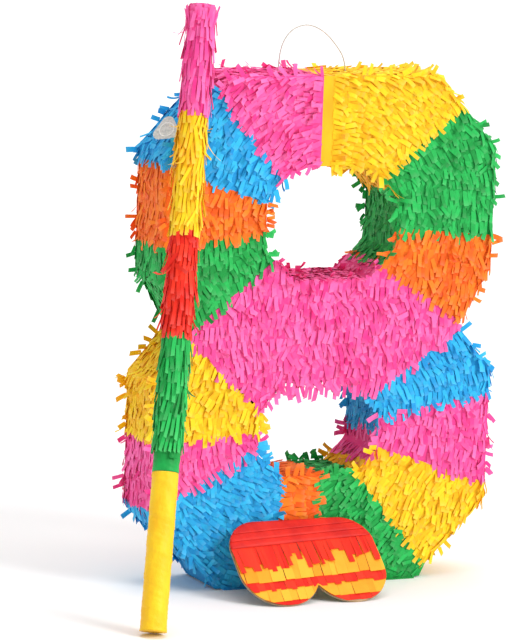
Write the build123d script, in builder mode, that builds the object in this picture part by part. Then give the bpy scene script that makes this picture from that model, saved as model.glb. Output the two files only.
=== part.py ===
from build123d import *
import os
from math import atan2, cos, degrees, radians, sin, tan

# Number-eight party pinata: a card box covered in paper fringe, with its hanging loop,
# fill flap and tag, and the stick and blindfold that lean on it.
# Millimetres. +X to the viewer's right, front towards -Y, +Z up, floor at z = 0.

# ---------------------------------------------------------------- card box
casing_height = 538.0        # base wall to top wall
casing_depth = 76.0          # over the front and back panels
card_wall = 3.0              # corrugated card
upper_half_width = 188.0     # centre line to the side of the upper loop
lower_half_width = 192.5
waist_half_width = 150.5
waist_above_base = 271.0
shoulder_run, shoulder_drop = 71.0, 77.0      # sloping top corners
foot_run, foot_rise = 81.5, 83.0              # sloping bottom corners
hip_rise, hip_drop = 62.0, 48.0               # from the waist up and down to the straight sides

upper_hole_half_width, upper_hole_half_height, upper_hole_cut = 76.8, 60.8, 33.0
lower_hole_half_width, lower_hole_half_height, lower_hole_cut = 70.5, 51.3, 26.0
top_limb = 92.5              # height of card above the upper hole
bottom_limb = 115.0          # height of card below the lower hole
lower_hole_shift = -6.0      # the lower hole sits a little to the left

# ---------------------------------------------------------------- fringe
fringe = 6.0                 # standing thickness of the glued paper fringe
base_fringe = 1.2            # pressed flat under the base
plain_paper = 1.0            # smooth paper with no fringe
seat_gap = 0.3               # between pieces that only lean on each other

# Colour seams, as angles above +X from the seam centres in the middle of each hole
top_seam_x = -16.0
plain_strip = 12.0
bottom_seam_left, bottom_seam_right = -49.0, -2.0
seam_pink_blue_top, seam_blue_orange_left, seam_orange_green_left = 130.0, 160.0, 187.0
seam_yellow_green_right, seam_green_orange_right = 38.0, -5.0
seam_yellow_pink_left, seam_pink_blue_left = 183.0, 209.0
seam_blue_pink_right, seam_pink_yellow_right, seam_yellow_green_bottom = 9.0, -19.0, -50.0

# ---------------------------------------------------------------- fill flap, in the back of the top limb
fill_centre_x = 50.0
fill_width, fill_height = 76.0, 58.0
fill_below_top = 18.0
flap_gap = 1.0               # knife cut round three sides
fold_gap = 0.3               # along the folded top edge
flap_fringe_below_fold = 8.0

# ---------------------------------------------------------------- hanging loop
line_radius = 0.6
line_hole_clearance = 0.6
loop_left_x, loop_right_x = -51.0, 27.0
pad_margin, pad_depth = 15.0, 34.0
knot_radius, knot_height = 3.0, 4.0

# ---------------------------------------------------------------- stick
dowel_radius = 12.6
handle_wrap = 1.4            # paper round the handle and under the green band
stick_fringe = 4.9           # standing thickness of the stick's fringe
stick_lengths = {
    "stick_handle_wrap": 160.0,
    "stick_green_band": 26.0,
    "stick_green_fringe": 116.0,
    "stick_red_fringe": 106.0,
    "stick_yellow_fringe": 124.0,
    "stick_pink_fringe": 112.0,
}
stick_foot_x = -262.5
stick_lean_back, stick_lean_side = 17.0, 10.4

# ---------------------------------------------------------------- blindfold
mask_centre_x = -35.0
mask_slope = 39.0            # degrees above the floor
mask_height = 110.0
mask_lobe_radius, mask_lobe_offset = 44.0, 39.0
mask_corner = 36.0
mask_card = 1.5
mask_paper = 1.2
mask_rows = {                # each row's lower edge above the tips of the lobes
    "mask_red_top": 80.0,
    "mask_red_fringe": 49.0,
    "mask_yellow_upper": 33.5,
    "mask_red_middle": 23.0,
    "mask_yellow_lower": 7.0,
    "mask_red_bottom": 0.0,
}
strap_width, strap_thickness = 10.0, 1.0
strap_tab, strap_level, strap_bow = 14.0, 62.0, 12.0
strap_end_margin = 6.0
staple_length, staple_wire = 12.0, 0.8

# ---------------------------------------------------------------- tag
tag_corner, tag_reach, tag_card = 7.0, 8.5, 0.8
tag_up_shoulder = 18.0
tag_tilt, tag_turn = 30.0, 35.0
tag_inset = 4.0

# ---------------------------------------------------------------- worked-out levels and points
base_z = base_fringe
top_z = base_z + casing_height
waist_z = base_z + waist_above_base
face_y = casing_depth / 2              # outer face of the back panel
skin_y = face_y + fringe               # outer face of the fringe
reach = 3 * casing_height              # well past the outline in any direction
handle_radius = dowel_radius + handle_wrap
stick_fringe_radius = dowel_radius + stick_fringe

shoulder_x, shoulder_z = upper_half_width - shoulder_run, top_z - shoulder_drop
foot_x, foot_z = lower_half_width - foot_run, base_z + foot_rise
right_side = [
    (shoulder_x, top_z),
    (upper_half_width, shoulder_z),
    (upper_half_width, waist_z + hip_rise),
    (waist_half_width, waist_z),
    (lower_half_width, waist_z - hip_drop),
    (lower_half_width, foot_z),
    (foot_x, base_z),
]
outline = right_side + [(-x, z) for x, z in reversed(right_side)]
upper_hole = (0.0, top_z - top_limb - upper_hole_half_height)
lower_hole = (lower_hole_shift, base_z + bottom_limb + lower_hole_half_height)

os.makedirs("parts", exist_ok=True)


def save(builder, name):
    """Labels a finished piece and writes its STEP file."""
    builder.part.label = name
    export_step(builder.part, f"parts/{name}.step")


def octagon(centre, half_width, half_height, cut):
    """Corner points of a hole with its four corners cut off."""
    x, z = centre
    inner_x, inner_z = half_width - cut, half_height - cut
    return [
        (x - inner_x, z + half_height), (x + inner_x, z + half_height),
        (x + half_width, z + inner_z), (x + half_width, z - inner_z),
        (x + inner_x, z - half_height), (x - inner_x, z - half_height),
        (x - half_width, z - inner_z), (x - half_width, z + inner_z),
    ]


hole_shapes = {
    "upper_hole_wall": octagon(
        upper_hole, upper_hole_half_width, upper_hole_half_height, upper_hole_cut),
    "lower_hole_wall": octagon(
        lower_hole, lower_hole_half_width, lower_hole_half_height, lower_hole_cut),
}


def prism(points, half_depth, grow=0.0):
    """A closed XZ outline, grown outwards by a margin and made solid about the XZ plane."""
    with BuildPart() as block:
        with BuildSketch(Plane.XZ.offset(-half_depth)):
            with BuildLine():
                Polyline(*points, close=True)
            make_face()
            if grow:
                offset(amount=grow, kind=Kind.INTERSECTION)
        extrude(amount=2 * half_depth)
    return block.part


def eight(grow, half_depth):
    """The whole eight, its outline grown and its holes shrunk by the same margin."""
    with BuildPart() as block:
        add(prism(outline, half_depth, grow))
        for hole in hole_shapes.values():
            add(prism(hole, half_depth, -grow), mode=Mode.SUBTRACT)
    return block.part


def box_between(low, high):
    """A plain block between two corners."""
    middle = [(a + b) / 2 for a, b in zip(low, high)]
    with BuildPart() as block:
        with Locations(tuple(middle)):
            Box(*[b - a for a, b in zip(low, high)])
    return block.part


# ---------------------------------------------------------------- fill opening and line holes
fill_top_z = top_z - fill_below_top
fill_opening = box_between(
    (fill_centre_x - fill_width / 2, face_y - card_wall - 1, fill_top_z - fill_height),
    (fill_centre_x + fill_width / 2, skin_y + 1, fill_top_z),
)
pad_z = top_z - 2 * card_wall
with BuildPart() as line_holes:
    with BuildSketch(Plane.XY.offset(pad_z - 1)):
        with Locations((loop_left_x, 0), (loop_right_x, 0)):
            Circle(line_radius + line_hole_clearance)
    extrude(amount=2 * card_wall + fringe + 2)

# ---------------------------------------------------------------- card box
eight_card = eight(0, card_wall / 2)

with BuildPart() as front_panel:
    add(Pos(0, -face_y + card_wall / 2, 0) * eight_card)
save(front_panel, "front_panel")

with BuildPart() as back_panel:
    add(Pos(0, face_y - card_wall / 2, 0) * eight_card)
    add(fill_opening, mode=Mode.SUBTRACT)
save(back_panel, "back_panel")

wall_half_depth = face_y - card_wall
with BuildPart() as outer_wall:
    add(prism(outline, wall_half_depth))
    add(prism(outline, wall_half_depth, -card_wall), mode=Mode.SUBTRACT)

# Each strip of the outer wall is the part of it between two x and two z values
wall_strips = {
    "top_wall": ((-shoulder_x, waist_z), (shoulder_x, reach)),
    "upper_right_wall": ((shoulder_x, waist_z), (reach, reach)),
    "upper_left_wall": ((-reach, waist_z), (-shoulder_x, reach)),
    "lower_right_wall": ((foot_x, -reach), (reach, waist_z)),
    "lower_left_wall": ((-reach, -reach), (-foot_x, waist_z)),
    "base_wall": ((-foot_x, -reach), (foot_x, waist_z)),
}
for name, ((x0, z0), (x1, z1)) in wall_strips.items():
    with BuildPart() as strip:
        add(outer_wall.part)
        add(box_between((x0, -reach, z0), (x1, reach, z1)), mode=Mode.INTERSECT)
        if name == "top_wall":
            add(line_holes.part, mode=Mode.SUBTRACT)
    save(strip, name)

for name, hole in hole_shapes.items():
    with BuildPart() as hole_wall:
        add(prism(hole, wall_half_depth, card_wall))
        add(prism(hole, wall_half_depth), mode=Mode.SUBTRACT)
    save(hole_wall, name)

# ---------------------------------------------------------------- fringe sleeves
with BuildPart() as sleeve:
    add(eight(fringe, skin_y))
    add(eight(0, face_y), mode=Mode.SUBTRACT)
    add(box_between((-reach, -reach, -reach), (reach, reach, base_z)), mode=Mode.SUBTRACT)

with BuildPart() as upper_sleeve:
    add(sleeve.part)
    add(box_between((-reach, -reach, waist_z), (reach, reach, reach)), mode=Mode.INTERSECT)

with BuildPart() as lower_sleeve:
    add(sleeve.part)
    add(box_between((-reach, -reach, -reach), (reach, reach, waist_z)), mode=Mode.INTERSECT)

# Seams run outwards from these points, inside the holes
upper_left_centre = (top_seam_x, upper_hole[1])
upper_right_centre = (top_seam_x + plain_strip, upper_hole[1])
lower_left_centre = (bottom_seam_left, lower_hole[1])
lower_right_centre = (bottom_seam_right, lower_hole[1])
waist_tip_x = waist_half_width + 2 * fringe
waist_left, waist_right = (-waist_tip_x, waist_z), (waist_tip_x, waist_z)


def angle_to(centre, point):
    """Direction from one point to another, in degrees above +X."""
    return degrees(atan2(point[1] - centre[1], point[0] - centre[0]))


def wedge(centre, start, end):
    """Corners of the sector between two directions, reaching past the outline."""
    ends = [(centre[0] + reach * cos(radians(a)), centre[1] + reach * sin(radians(a)))
            for a in (start, end)]
    return [centre, *ends]


upper_sections = {
    "fringe_pink_top": wedge(upper_left_centre, 90, seam_pink_blue_top),
    "fringe_blue_upper_left": wedge(
        upper_left_centre, seam_pink_blue_top, seam_blue_orange_left),
    "fringe_orange_left": wedge(
        upper_left_centre, seam_blue_orange_left, seam_orange_green_left),
    "fringe_green_left": wedge(
        upper_left_centre, seam_orange_green_left, angle_to(upper_left_centre, waist_left) % 360),
    "fringe_yellow_top": wedge(upper_right_centre, seam_yellow_green_right, 90),
    "fringe_green_right": wedge(
        upper_right_centre, seam_green_orange_right, seam_yellow_green_right),
    "fringe_orange_right": wedge(
        upper_right_centre, angle_to(upper_right_centre, waist_right), seam_green_orange_right),
}
lower_sections = {
    "fringe_yellow_left": wedge(
        lower_left_centre, angle_to(lower_left_centre, waist_left), seam_yellow_pink_left),
    "fringe_pink_left": wedge(lower_left_centre, seam_yellow_pink_left, seam_pink_blue_left),
    "fringe_blue_lower_left": wedge(lower_left_centre, seam_pink_blue_left, 270),
    "fringe_orange_bottom": [
        lower_left_centre, lower_right_centre,
        (bottom_seam_right, -reach), (bottom_seam_left, -reach)],
    "fringe_green_bottom": wedge(lower_right_centre, -90, seam_yellow_green_bottom),
    "fringe_yellow_lower_right": wedge(
        lower_right_centre, seam_yellow_green_bottom, seam_pink_yellow_right),
    "fringe_pink_right": wedge(
        lower_right_centre, seam_pink_yellow_right, seam_blue_pink_right),
    "fringe_blue_right": wedge(
        lower_right_centre, seam_blue_pink_right, angle_to(lower_right_centre, waist_right)),
}
middle_section = {
    "fringe_pink_middle": [
        upper_left_centre, upper_right_centre, waist_right,
        lower_right_centre, lower_left_centre, waist_left],
}
for whole, sections in (
    (upper_sleeve, upper_sections),
    (lower_sleeve, lower_sections),
    (sleeve, middle_section),
):
    for name, corners in sections.items():
        with BuildPart() as section:
            add(whole.part)
            add(prism(corners, reach), mode=Mode.INTERSECT)
            if name in ("fringe_pink_top", "fringe_yellow_top"):
                add(line_holes.part, mode=Mode.SUBTRACT)
                add(fill_opening, mode=Mode.SUBTRACT)
        save(section, name)

# The last row's plain strip beside the top seam, one paper thick round the limb
with BuildPart() as plain_strip_wrap:
    add(eight(plain_paper, face_y + plain_paper))
    add(eight(0, face_y), mode=Mode.SUBTRACT)
    add(
        box_between(
            (top_seam_x, -reach, upper_hole[1]), (top_seam_x + plain_strip, reach, reach)),
        mode=Mode.INTERSECT,
    )
save(plain_strip_wrap, "plain_yellow_strip")

# Fringe that the base presses flat
base_seams = {
    "base_fringe_blue": (-foot_x, bottom_seam_left),
    "base_fringe_orange": (bottom_seam_left, bottom_seam_right),
    "base_fringe_green": (bottom_seam_right, foot_x),
}
for name, (x0, x1) in base_seams.items():
    with BuildPart() as base_layer:
        add(box_between((x0, -skin_y, 0), (x1, skin_y, base_fringe)))
    save(base_layer, name)

# ---------------------------------------------------------------- fill flap
flap_left, flap_right = (
    fill_centre_x + side * (fill_width / 2 - flap_gap) for side in (-1, 1))
flap_low_z = fill_top_z - fill_height + flap_gap

with BuildPart() as fill_flap:
    add(box_between(
        (flap_left, face_y - card_wall, flap_low_z), (flap_right, face_y, fill_top_z - fold_gap)))
save(fill_flap, "fill_flap")

with BuildPart() as fill_flap_fringe:
    add(box_between(
        (flap_left, face_y, flap_low_z), (flap_right, skin_y, fill_top_z - flap_fringe_below_fold)))
save(fill_flap_fringe, "fill_flap_fringe")

# ---------------------------------------------------------------- hanging loop
with BuildPart() as hanger_pad:
    add(box_between(
        (loop_left_x - pad_margin, -pad_depth / 2, pad_z),
        (loop_right_x + pad_margin, pad_depth / 2, pad_z + card_wall)))
    add(line_holes.part, mode=Mode.SUBTRACT)
save(hanger_pad, "hanger_pad")

with BuildPart() as hanger_knots:
    with BuildSketch(Plane.XY.offset(pad_z)):
        with Locations((loop_left_x, 0), (loop_right_x, 0)):
            Circle(knot_radius)
    extrude(amount=-knot_height)
    fillet(hanger_knots.edges().group_by(Axis.Z)[0], radius=knot_height / 3)
save(hanger_knots, "hanger_knots")

# Route of the line: out of the left hole, over, and back into the right one
skin_top_z = top_z + fringe
loop_points = [
    (loop_left_x, 0, pad_z),
    (loop_left_x, 0, skin_top_z + 7.0),
    (loop_left_x + 4.0, 0, skin_top_z + 27.0),
    (loop_left_x + 15.0, 0, skin_top_z + 41.0),
    (loop_left_x + 33.0, 0, skin_top_z + 46.0),
    (loop_left_x + 51.0, 0, skin_top_z + 38.5),
    (loop_left_x + 65.0, 0, skin_top_z + 25.0),
    (loop_right_x, 0, skin_top_z + 7.0),
    (loop_right_x, 0, pad_z),
]


def bend_radii(points):
    """The largest smooth radius at each inner corner of a route."""
    radii = []
    for before, corner, after in zip(points, points[1:], points[2:]):
        into, out = Vector(corner) - Vector(before), Vector(after) - Vector(corner)
        turn = radians(into.get_angle(out))
        radii.append(0.45 * min(into.length, out.length) / tan(turn / 2))
    return radii


loop_radii = bend_radii(loop_points)
with BuildPart() as hanging_loop:
    with BuildLine() as loop_path:
        FilletPolyline(*loop_points, radius=loop_radii)
    with BuildSketch(Plane(origin=loop_points[0], z_dir=(0, 0, 1))):
        Circle(line_radius)
    sweep()
save(hanging_loop, "hanging_loop")
loop_length = sum(edge.length for edge in loop_path.edges())
print("loop radii", [round(r, 1) for r in loop_radii], "length", round(loop_length, 1))
print("loop volume share", hanging_loop.part.volume / (Circle(line_radius).area * loop_length))

# ---------------------------------------------------------------- stick
# The stick leans with its yellow fringe against the front edge of the left shoulder. The
# foot's place in Y makes the two lines pass each other at the fringe's radius and a gap.
stick_direction = Vector(tan(radians(stick_lean_side)), tan(radians(stick_lean_back)), 1).normalized()
stick_tilt = Vector(0, 0, 1).get_angle(stick_direction)
stick_foot_z = handle_radius * sin(radians(stick_tilt))
edge_direction = Vector(shoulder_run, 0, shoulder_drop).normalized()
across = edge_direction.cross(stick_direction).normalized()
if across.Y > 0:
    across = across * -1
edge_point = Vector(-upper_half_width, 0, shoulder_z) + Vector(
    -shoulder_drop, 0, shoulder_run).normalized() * fringe + Vector(0, -skin_y, 0)
lean_distance = stick_fringe_radius + seat_gap
stick_foot_y = edge_point.Y + (
    lean_distance
    - (stick_foot_x - edge_point.X) * across.X
    - (stick_foot_z - edge_point.Z) * across.Z
) / across.Y
stick_plane = Plane(
    origin=(stick_foot_x, stick_foot_y, stick_foot_z), x_dir=(1, 0, 0), z_dir=stick_direction)
stick_length = sum(stick_lengths.values())

with BuildPart() as stick_dowel:
    with BuildSketch(stick_plane.offset(plain_paper)):
        Circle(dowel_radius)
    extrude(amount=stick_length - plain_paper)
save(stick_dowel, "stick_dowel")

sleeve_start = 0.0
for name, length in stick_lengths.items():
    outer_radius = stick_fringe_radius if name.endswith("fringe") else handle_radius
    with BuildPart() as stick_sleeve:
        with BuildSketch(stick_plane.offset(sleeve_start)):
            Circle(outer_radius)
        extrude(amount=length)
        with BuildSketch(stick_plane.offset(max(sleeve_start, plain_paper))):
            Circle(dowel_radius)
        extrude(amount=length, mode=Mode.SUBTRACT)
    save(stick_sleeve, name)
    sleeve_start += length

# ---------------------------------------------------------------- blindfold
mask_up = Vector(0, cos(radians(mask_slope)), sin(radians(mask_slope)))
mask_front = Vector(0, -sin(radians(mask_slope)), cos(radians(mask_slope)))
mask_foot_y = -skin_y - seat_gap - mask_height * mask_up.Y
mask_plane = Plane(origin=(mask_centre_x, mask_foot_y, 0), x_dir=(1, 0, 0), z_dir=mask_front)
mask_half_width = mask_lobe_offset + mask_lobe_radius


def mask_outline():
    """Two round lobes under a band with rounded shoulders, its tips at the origin's level."""
    with BuildSketch() as shape:
        with Locations((0, (mask_lobe_radius + mask_height) / 2)):
            Rectangle(2 * mask_half_width, mask_height - mask_lobe_radius)
        fillet(shape.vertices().group_by(Axis.Y)[-1], radius=mask_corner)
        with Locations((-mask_lobe_offset, mask_lobe_radius), (mask_lobe_offset, mask_lobe_radius)):
            Circle(mask_lobe_radius)
    return shape.sketch


with BuildPart() as mask_board:
    with BuildSketch(mask_plane):
        add(mask_outline())
    extrude(amount=mask_card)
save(mask_board, "mask_card")

row_top = mask_height
for name, row_low in mask_rows.items():
    with BuildPart() as mask_row:
        with BuildSketch(mask_plane.offset(mask_card)):
            add(mask_outline())
            with Locations((0, (row_low + row_top) / 2)):
                Rectangle(4 * mask_half_width, row_top - row_low, mode=Mode.INTERSECT)
        extrude(amount=mask_paper)
    save(mask_row, name)
    row_top = row_low

# Elastic strap behind the card: a flat tab at each end and a shallow bow between them
strap_half = mask_half_width - strap_end_margin
bow_half = strap_half - strap_tab
strap_plane = Plane(
    origin=mask_plane.origin + mask_up * (strap_level - strap_width / 2),
    x_dir=(1, 0, 0), z_dir=mask_up)
with BuildPart() as mask_strap:
    with BuildSketch(strap_plane):
        with BuildLine():
            tab_left = Line((-strap_half, strap_thickness / 2), (-bow_half, strap_thickness / 2))
            bow = ThreePointArc(
                tab_left @ 1, (0, strap_thickness / 2 + strap_bow), (bow_half, strap_thickness / 2))
            Line(bow @ 1, (strap_half, strap_thickness / 2))
        trace(line_width=strap_thickness)
    extrude(amount=strap_width)
save(mask_strap, "mask_strap")

with BuildPart() as mask_staples:
    with BuildSketch(strap_plane.offset((strap_width - staple_wire) / 2)):
        for side in (-1, 1):
            with Locations((side * (strap_half - strap_tab / 2), strap_thickness + staple_wire / 2)):
                Rectangle(staple_length, staple_wire)
    extrude(amount=staple_wire)
save(mask_staples, "mask_staples")

# ---------------------------------------------------------------- tag
# A blank three-cornered card tag stuck to the left shoulder's fringe by its front edge
shoulder_out = Vector(-shoulder_drop, 0, shoulder_run).normalized()
tag_normal = shoulder_out * cos(radians(tag_tilt)) + Vector(0, -1, 0) * sin(radians(tag_tilt))
tag_rise = shoulder_out * sin(radians(tag_tilt)) + Vector(0, 1, 0) * cos(radians(tag_tilt))
tag_half = tag_reach + tag_corner
tag_centre = (
    edge_point + edge_direction * tag_up_shoulder + Vector(0, tag_inset, 0)
    + tag_rise * tag_half + shoulder_out * seat_gap)
tag_plane = Plane(origin=tag_centre, x_dir=edge_direction, z_dir=tag_normal)
with BuildPart() as tag:
    with BuildSketch(tag_plane):
        with PolarLocations(tag_reach, 3, start_angle=tag_turn):
            Circle(tag_corner)
        make_hull()
    extrude(amount=tag_card)
save(tag, "tag")
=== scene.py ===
import logging
import math
from dataclasses import dataclass
from enum import Enum
from typing import Sequence

import bmesh
import bpy
import numpy as np
from mathutils import Matrix, Vector


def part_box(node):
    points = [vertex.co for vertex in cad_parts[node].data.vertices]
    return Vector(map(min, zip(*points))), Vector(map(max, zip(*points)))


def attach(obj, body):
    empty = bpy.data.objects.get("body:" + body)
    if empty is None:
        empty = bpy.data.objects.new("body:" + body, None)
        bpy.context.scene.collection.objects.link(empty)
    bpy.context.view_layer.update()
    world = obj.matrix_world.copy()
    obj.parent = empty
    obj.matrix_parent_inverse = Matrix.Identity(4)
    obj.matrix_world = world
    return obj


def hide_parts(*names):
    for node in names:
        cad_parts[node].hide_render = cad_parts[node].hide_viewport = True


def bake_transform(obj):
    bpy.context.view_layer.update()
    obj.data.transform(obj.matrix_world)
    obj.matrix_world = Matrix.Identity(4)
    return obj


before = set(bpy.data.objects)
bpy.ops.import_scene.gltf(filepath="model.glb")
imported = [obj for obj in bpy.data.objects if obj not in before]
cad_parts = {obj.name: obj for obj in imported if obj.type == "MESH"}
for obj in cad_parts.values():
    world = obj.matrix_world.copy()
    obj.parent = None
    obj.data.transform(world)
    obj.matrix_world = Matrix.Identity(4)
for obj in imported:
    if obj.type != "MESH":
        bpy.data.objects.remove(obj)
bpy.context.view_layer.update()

# Looks of a number-eight party pinata: cut paper fringe in coloured blocks over a card box,
# with its fill flap, hanging loop and blank tag, and the stick and blindfold of the set.
# Metres. +X to the viewer's right, front towards -Y, +Z up, floor at z = 0.

MM = 0.001
LOWEST = 0.1 * MM
# Painted value of the backing paper under the strands: low, near the deep colour, so that the
# slits between strands show painted shade.
BACKING_PAINTED_SHADE = 0.2
log = logging.getLogger("pinata")
Colour = tuple[float, float, float]
Ways = np.ndarray | tuple[float, float, float]


def srgb(red: int, green: int, blue: int) -> Colour:
    """Turns a dyer's 0-255 colour into linear values.

    Args:
        red: Red, 0 to 255.
        green: Green, 0 to 255.
        blue: Blue, 0 to 255.

    Returns:
        The same colour as linear RGB from 0 to 1.
    """
    def linear(value: int) -> float:
        """One channel in linear light."""
        share = value / 255
        return share / 12.92 if share <= 0.04045 else ((share + 0.055) / 1.055) ** 2.4

    return linear(red), linear(green), linear(blue)


def unit(vectors: np.ndarray) -> np.ndarray:
    """Scales vectors in the last axis to length 1."""
    return vectors / np.maximum(np.linalg.norm(vectors, axis=-1, keepdims=True), 1e-12)


# ---------------------------------------------------------------- shader groups
class ShaderGroups:
    """The effects that several finishes share, each built once as a node group."""

    def __init__(self) -> None:
        """Builds every group."""
        self.cut_paper = self._cut_paper()
        self.creases = self._creases()
        self.fibres = self._fibres()

    @staticmethod
    def _start(name: str, inputs: dict[str, object], outputs: dict[str, str]) -> tuple:
        """Makes a group with named sockets.

        Args:
            name: The group's name.
            inputs: Each input's name and starting value: a float or a colour.
            outputs: Each output's name and socket type.

        Returns:
            The tree, its input node and its output node.
        """
        tree = bpy.data.node_groups.new(name, "ShaderNodeTree")
        for label, value in inputs.items():
            kind = "NodeSocketFloat" if isinstance(value, float) else "NodeSocketColor"
            socket = tree.interface.new_socket(label, in_out="INPUT", socket_type=kind)
            socket.default_value = value if isinstance(value, float) else (*value, 1.0)
        for label, kind in outputs.items():
            tree.interface.new_socket(label, in_out="OUTPUT", socket_type=kind)
        return tree, tree.nodes.new("NodeGroupInput"), tree.nodes.new("NodeGroupOutput")

    @staticmethod
    def noise(tree: bpy.types.NodeTree, vector: bpy.types.NodeSocket, scale: object,
              detail: float = 3.0) -> bpy.types.NodeSocket:
        """Adds a noise texture in object space.

        Args:
            tree: The node tree it goes in.
            vector: The coordinates that it reads.
            scale: A number, or a socket that gives it.
            detail: How many octaves it has.

        Returns:
            The texture's value socket.
        """
        node = tree.nodes.new("ShaderNodeTexNoise")
        node.inputs["Detail"].default_value = detail
        tree.links.new(vector, node.inputs["Vector"])
        if isinstance(scale, float):
            node.inputs["Scale"].default_value = scale
        else:
            tree.links.new(scale, node.inputs["Scale"])
        return node.outputs["Fac"]

    @staticmethod
    def mix(tree: bpy.types.NodeTree, share: object, first: bpy.types.NodeSocket,
            second: bpy.types.NodeSocket) -> bpy.types.NodeSocket:
        """Mixes two colours.

        Args:
            tree: The node tree it goes in.
            share: How much of the second colour shows.
            first: The first colour.
            second: The second colour.

        Returns:
            The mixed colour's socket.
        """
        node = tree.nodes.new("ShaderNodeMix")
        node.data_type = "RGBA"
        tree.links.new(share, node.inputs["Factor"])
        tree.links.new(first, node.inputs[6])
        tree.links.new(second, node.inputs[7])
        return node.outputs[2]

    @staticmethod
    def ranged(tree: bpy.types.NodeTree, value: bpy.types.NodeSocket,
               low: float, high: float, to_low: float = 0.0, to_high: float = 1.0
               ) -> bpy.types.NodeSocket:
        """Maps a value from one range to another.

        Args:
            tree: The node tree it goes in.
            value: The value's socket.
            low: Start of the range that the value comes in.
            high: End of that range.
            to_low: Start of the range that goes out.
            to_high: End of that range.

        Returns:
            The mapped value's socket.
        """
        node = tree.nodes.new("ShaderNodeMapRange")
        tree.links.new(value, node.inputs["Value"])
        for label, number in zip(
            ("From Min", "From Max", "To Min", "To Max"), (low, high, to_low, to_high)
        ):
            node.inputs[label].default_value = number
        return node.outputs["Result"]

    def _cut_paper(self) -> bpy.types.NodeTree:
        """Tissue cut into strands: each strand has a tone of its own, paler at its cut tip as
        painted light, standing in for the shade nearer its root.
        """
        tree, given, result = self._start(
            "cut_paper",
            {"Light": (1.0, 1.0, 1.0), "Deep": (0.5, 0.5, 0.5), "Tip": (1.0, 1.0, 1.0)},
            {"Colour": "NodeSocketColor", "Roughness": "NodeSocketFloat",
             "Height": "NodeSocketFloat"},
        )
        place = tree.nodes.new("ShaderNodeTexCoord").outputs["Object"]
        tone = tree.nodes.new("ShaderNodeAttribute")
        tone.attribute_name = "tone"
        along = tree.nodes.new("ShaderNodeAttribute")
        along.attribute_name = "along"
        mottle = self.noise(tree, place, 90.0)
        blended = tree.nodes.new("ShaderNodeMath")
        blended.operation = "MULTIPLY_ADD"
        tree.links.new(mottle, blended.inputs[0])
        blended.inputs[1].default_value = 0.5
        tree.links.new(tone.outputs["Fac"], blended.inputs[2])
        share = self.ranged(tree, blended.outputs[0], 0.15, 1.1)
        body = self.mix(tree, share, given.outputs["Deep"], given.outputs["Light"])
        # Towards the tip the colour is mixed to a paler one: painted light, as the root lies
        # deeper in shade.
        tip_painted_light = self.ranged(tree, along.outputs["Fac"], 0.6, 1.0, 0.0, 0.1)
        tree.links.new(
            self.mix(tree, tip_painted_light, body, given.outputs["Tip"]), result.inputs["Colour"])
        grain = self.noise(tree, place, 900.0)
        tree.links.new(self.ranged(tree, grain, 0.2, 0.8, 0.55, 0.8), result.inputs["Roughness"])
        tree.links.new(grain, result.inputs["Height"])
        return tree

    def _creases(self) -> bpy.types.NodeTree:
        """Smooth paper glued round something: long soft creases, with painted shade darkening the
        hollows.
        """
        tree, given, result = self._start(
            "creases",
            {"Light": (1.0, 1.0, 1.0), "Deep": (0.5, 0.5, 0.5), "Scale": 60.0},
            {"Colour": "NodeSocketColor", "Roughness": "NodeSocketFloat",
             "Height": "NodeSocketFloat"},
        )
        place = tree.nodes.new("ShaderNodeTexCoord").outputs["Object"]
        stretch = tree.nodes.new("ShaderNodeMapping")
        stretch.inputs["Scale"].default_value = (1.0, 1.0, 0.55)
        stretch.inputs["Rotation"].default_value = (0.0, 0.6, 0.0)
        tree.links.new(place, stretch.inputs["Vector"])
        broad = self.noise(tree, stretch.outputs[0], given.outputs["Scale"], 5.0)
        ridge = self.ranged(tree, broad, 0.35, 0.65)
        # The colour follows the crease height: the hollows take the deep colour, painted shade.
        tree.links.new(
            self.mix(tree, ridge, given.outputs["Deep"], given.outputs["Light"]),
            result.inputs["Colour"])
        fine = self.noise(tree, place, 700.0)
        tree.links.new(self.ranged(tree, fine, 0.2, 0.8, 0.45, 0.65), result.inputs["Roughness"])
        height = tree.nodes.new("ShaderNodeMath")
        height.operation = "MULTIPLY_ADD"
        tree.links.new(fine, height.inputs[0])
        height.inputs[1].default_value = 0.2
        tree.links.new(ridge, height.inputs[2])
        tree.links.new(height.outputs[0], result.inputs["Height"])
        return tree

    def _fibres(self) -> bpy.types.NodeTree:
        """Lines along one axis, as wood grain, card flutes or woven ribs."""
        tree, given, result = self._start(
            "fibres",
            {"Light": (1.0, 1.0, 1.0), "Deep": (0.5, 0.5, 0.5), "Scale": 100.0,
             "Across X": 1.0, "Across Y": 1.0, "Across Z": 1.0},
            {"Colour": "NodeSocketColor", "Roughness": "NodeSocketFloat",
             "Height": "NodeSocketFloat"},
        )
        place = tree.nodes.new("ShaderNodeTexCoord").outputs["Object"]
        squeeze = tree.nodes.new("ShaderNodeCombineXYZ")
        for axis in "XYZ":
            tree.links.new(given.outputs[f"Across {axis}"], squeeze.inputs[axis])
        across = tree.nodes.new("ShaderNodeVectorMath")
        across.operation = "MULTIPLY"
        tree.links.new(place, across.inputs[0])
        tree.links.new(squeeze.outputs[0], across.inputs[1])
        line = self.noise(tree, across.outputs[0], given.outputs["Scale"], 4.0)
        share = self.ranged(tree, line, 0.3, 0.7)
        tree.links.new(
            self.mix(tree, share, given.outputs["Deep"], given.outputs["Light"]),
            result.inputs["Colour"])
        tree.links.new(self.ranged(tree, line, 0.2, 0.8, 0.5, 0.75), result.inputs["Roughness"])
        tree.links.new(line, result.inputs["Height"])
        return tree


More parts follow.
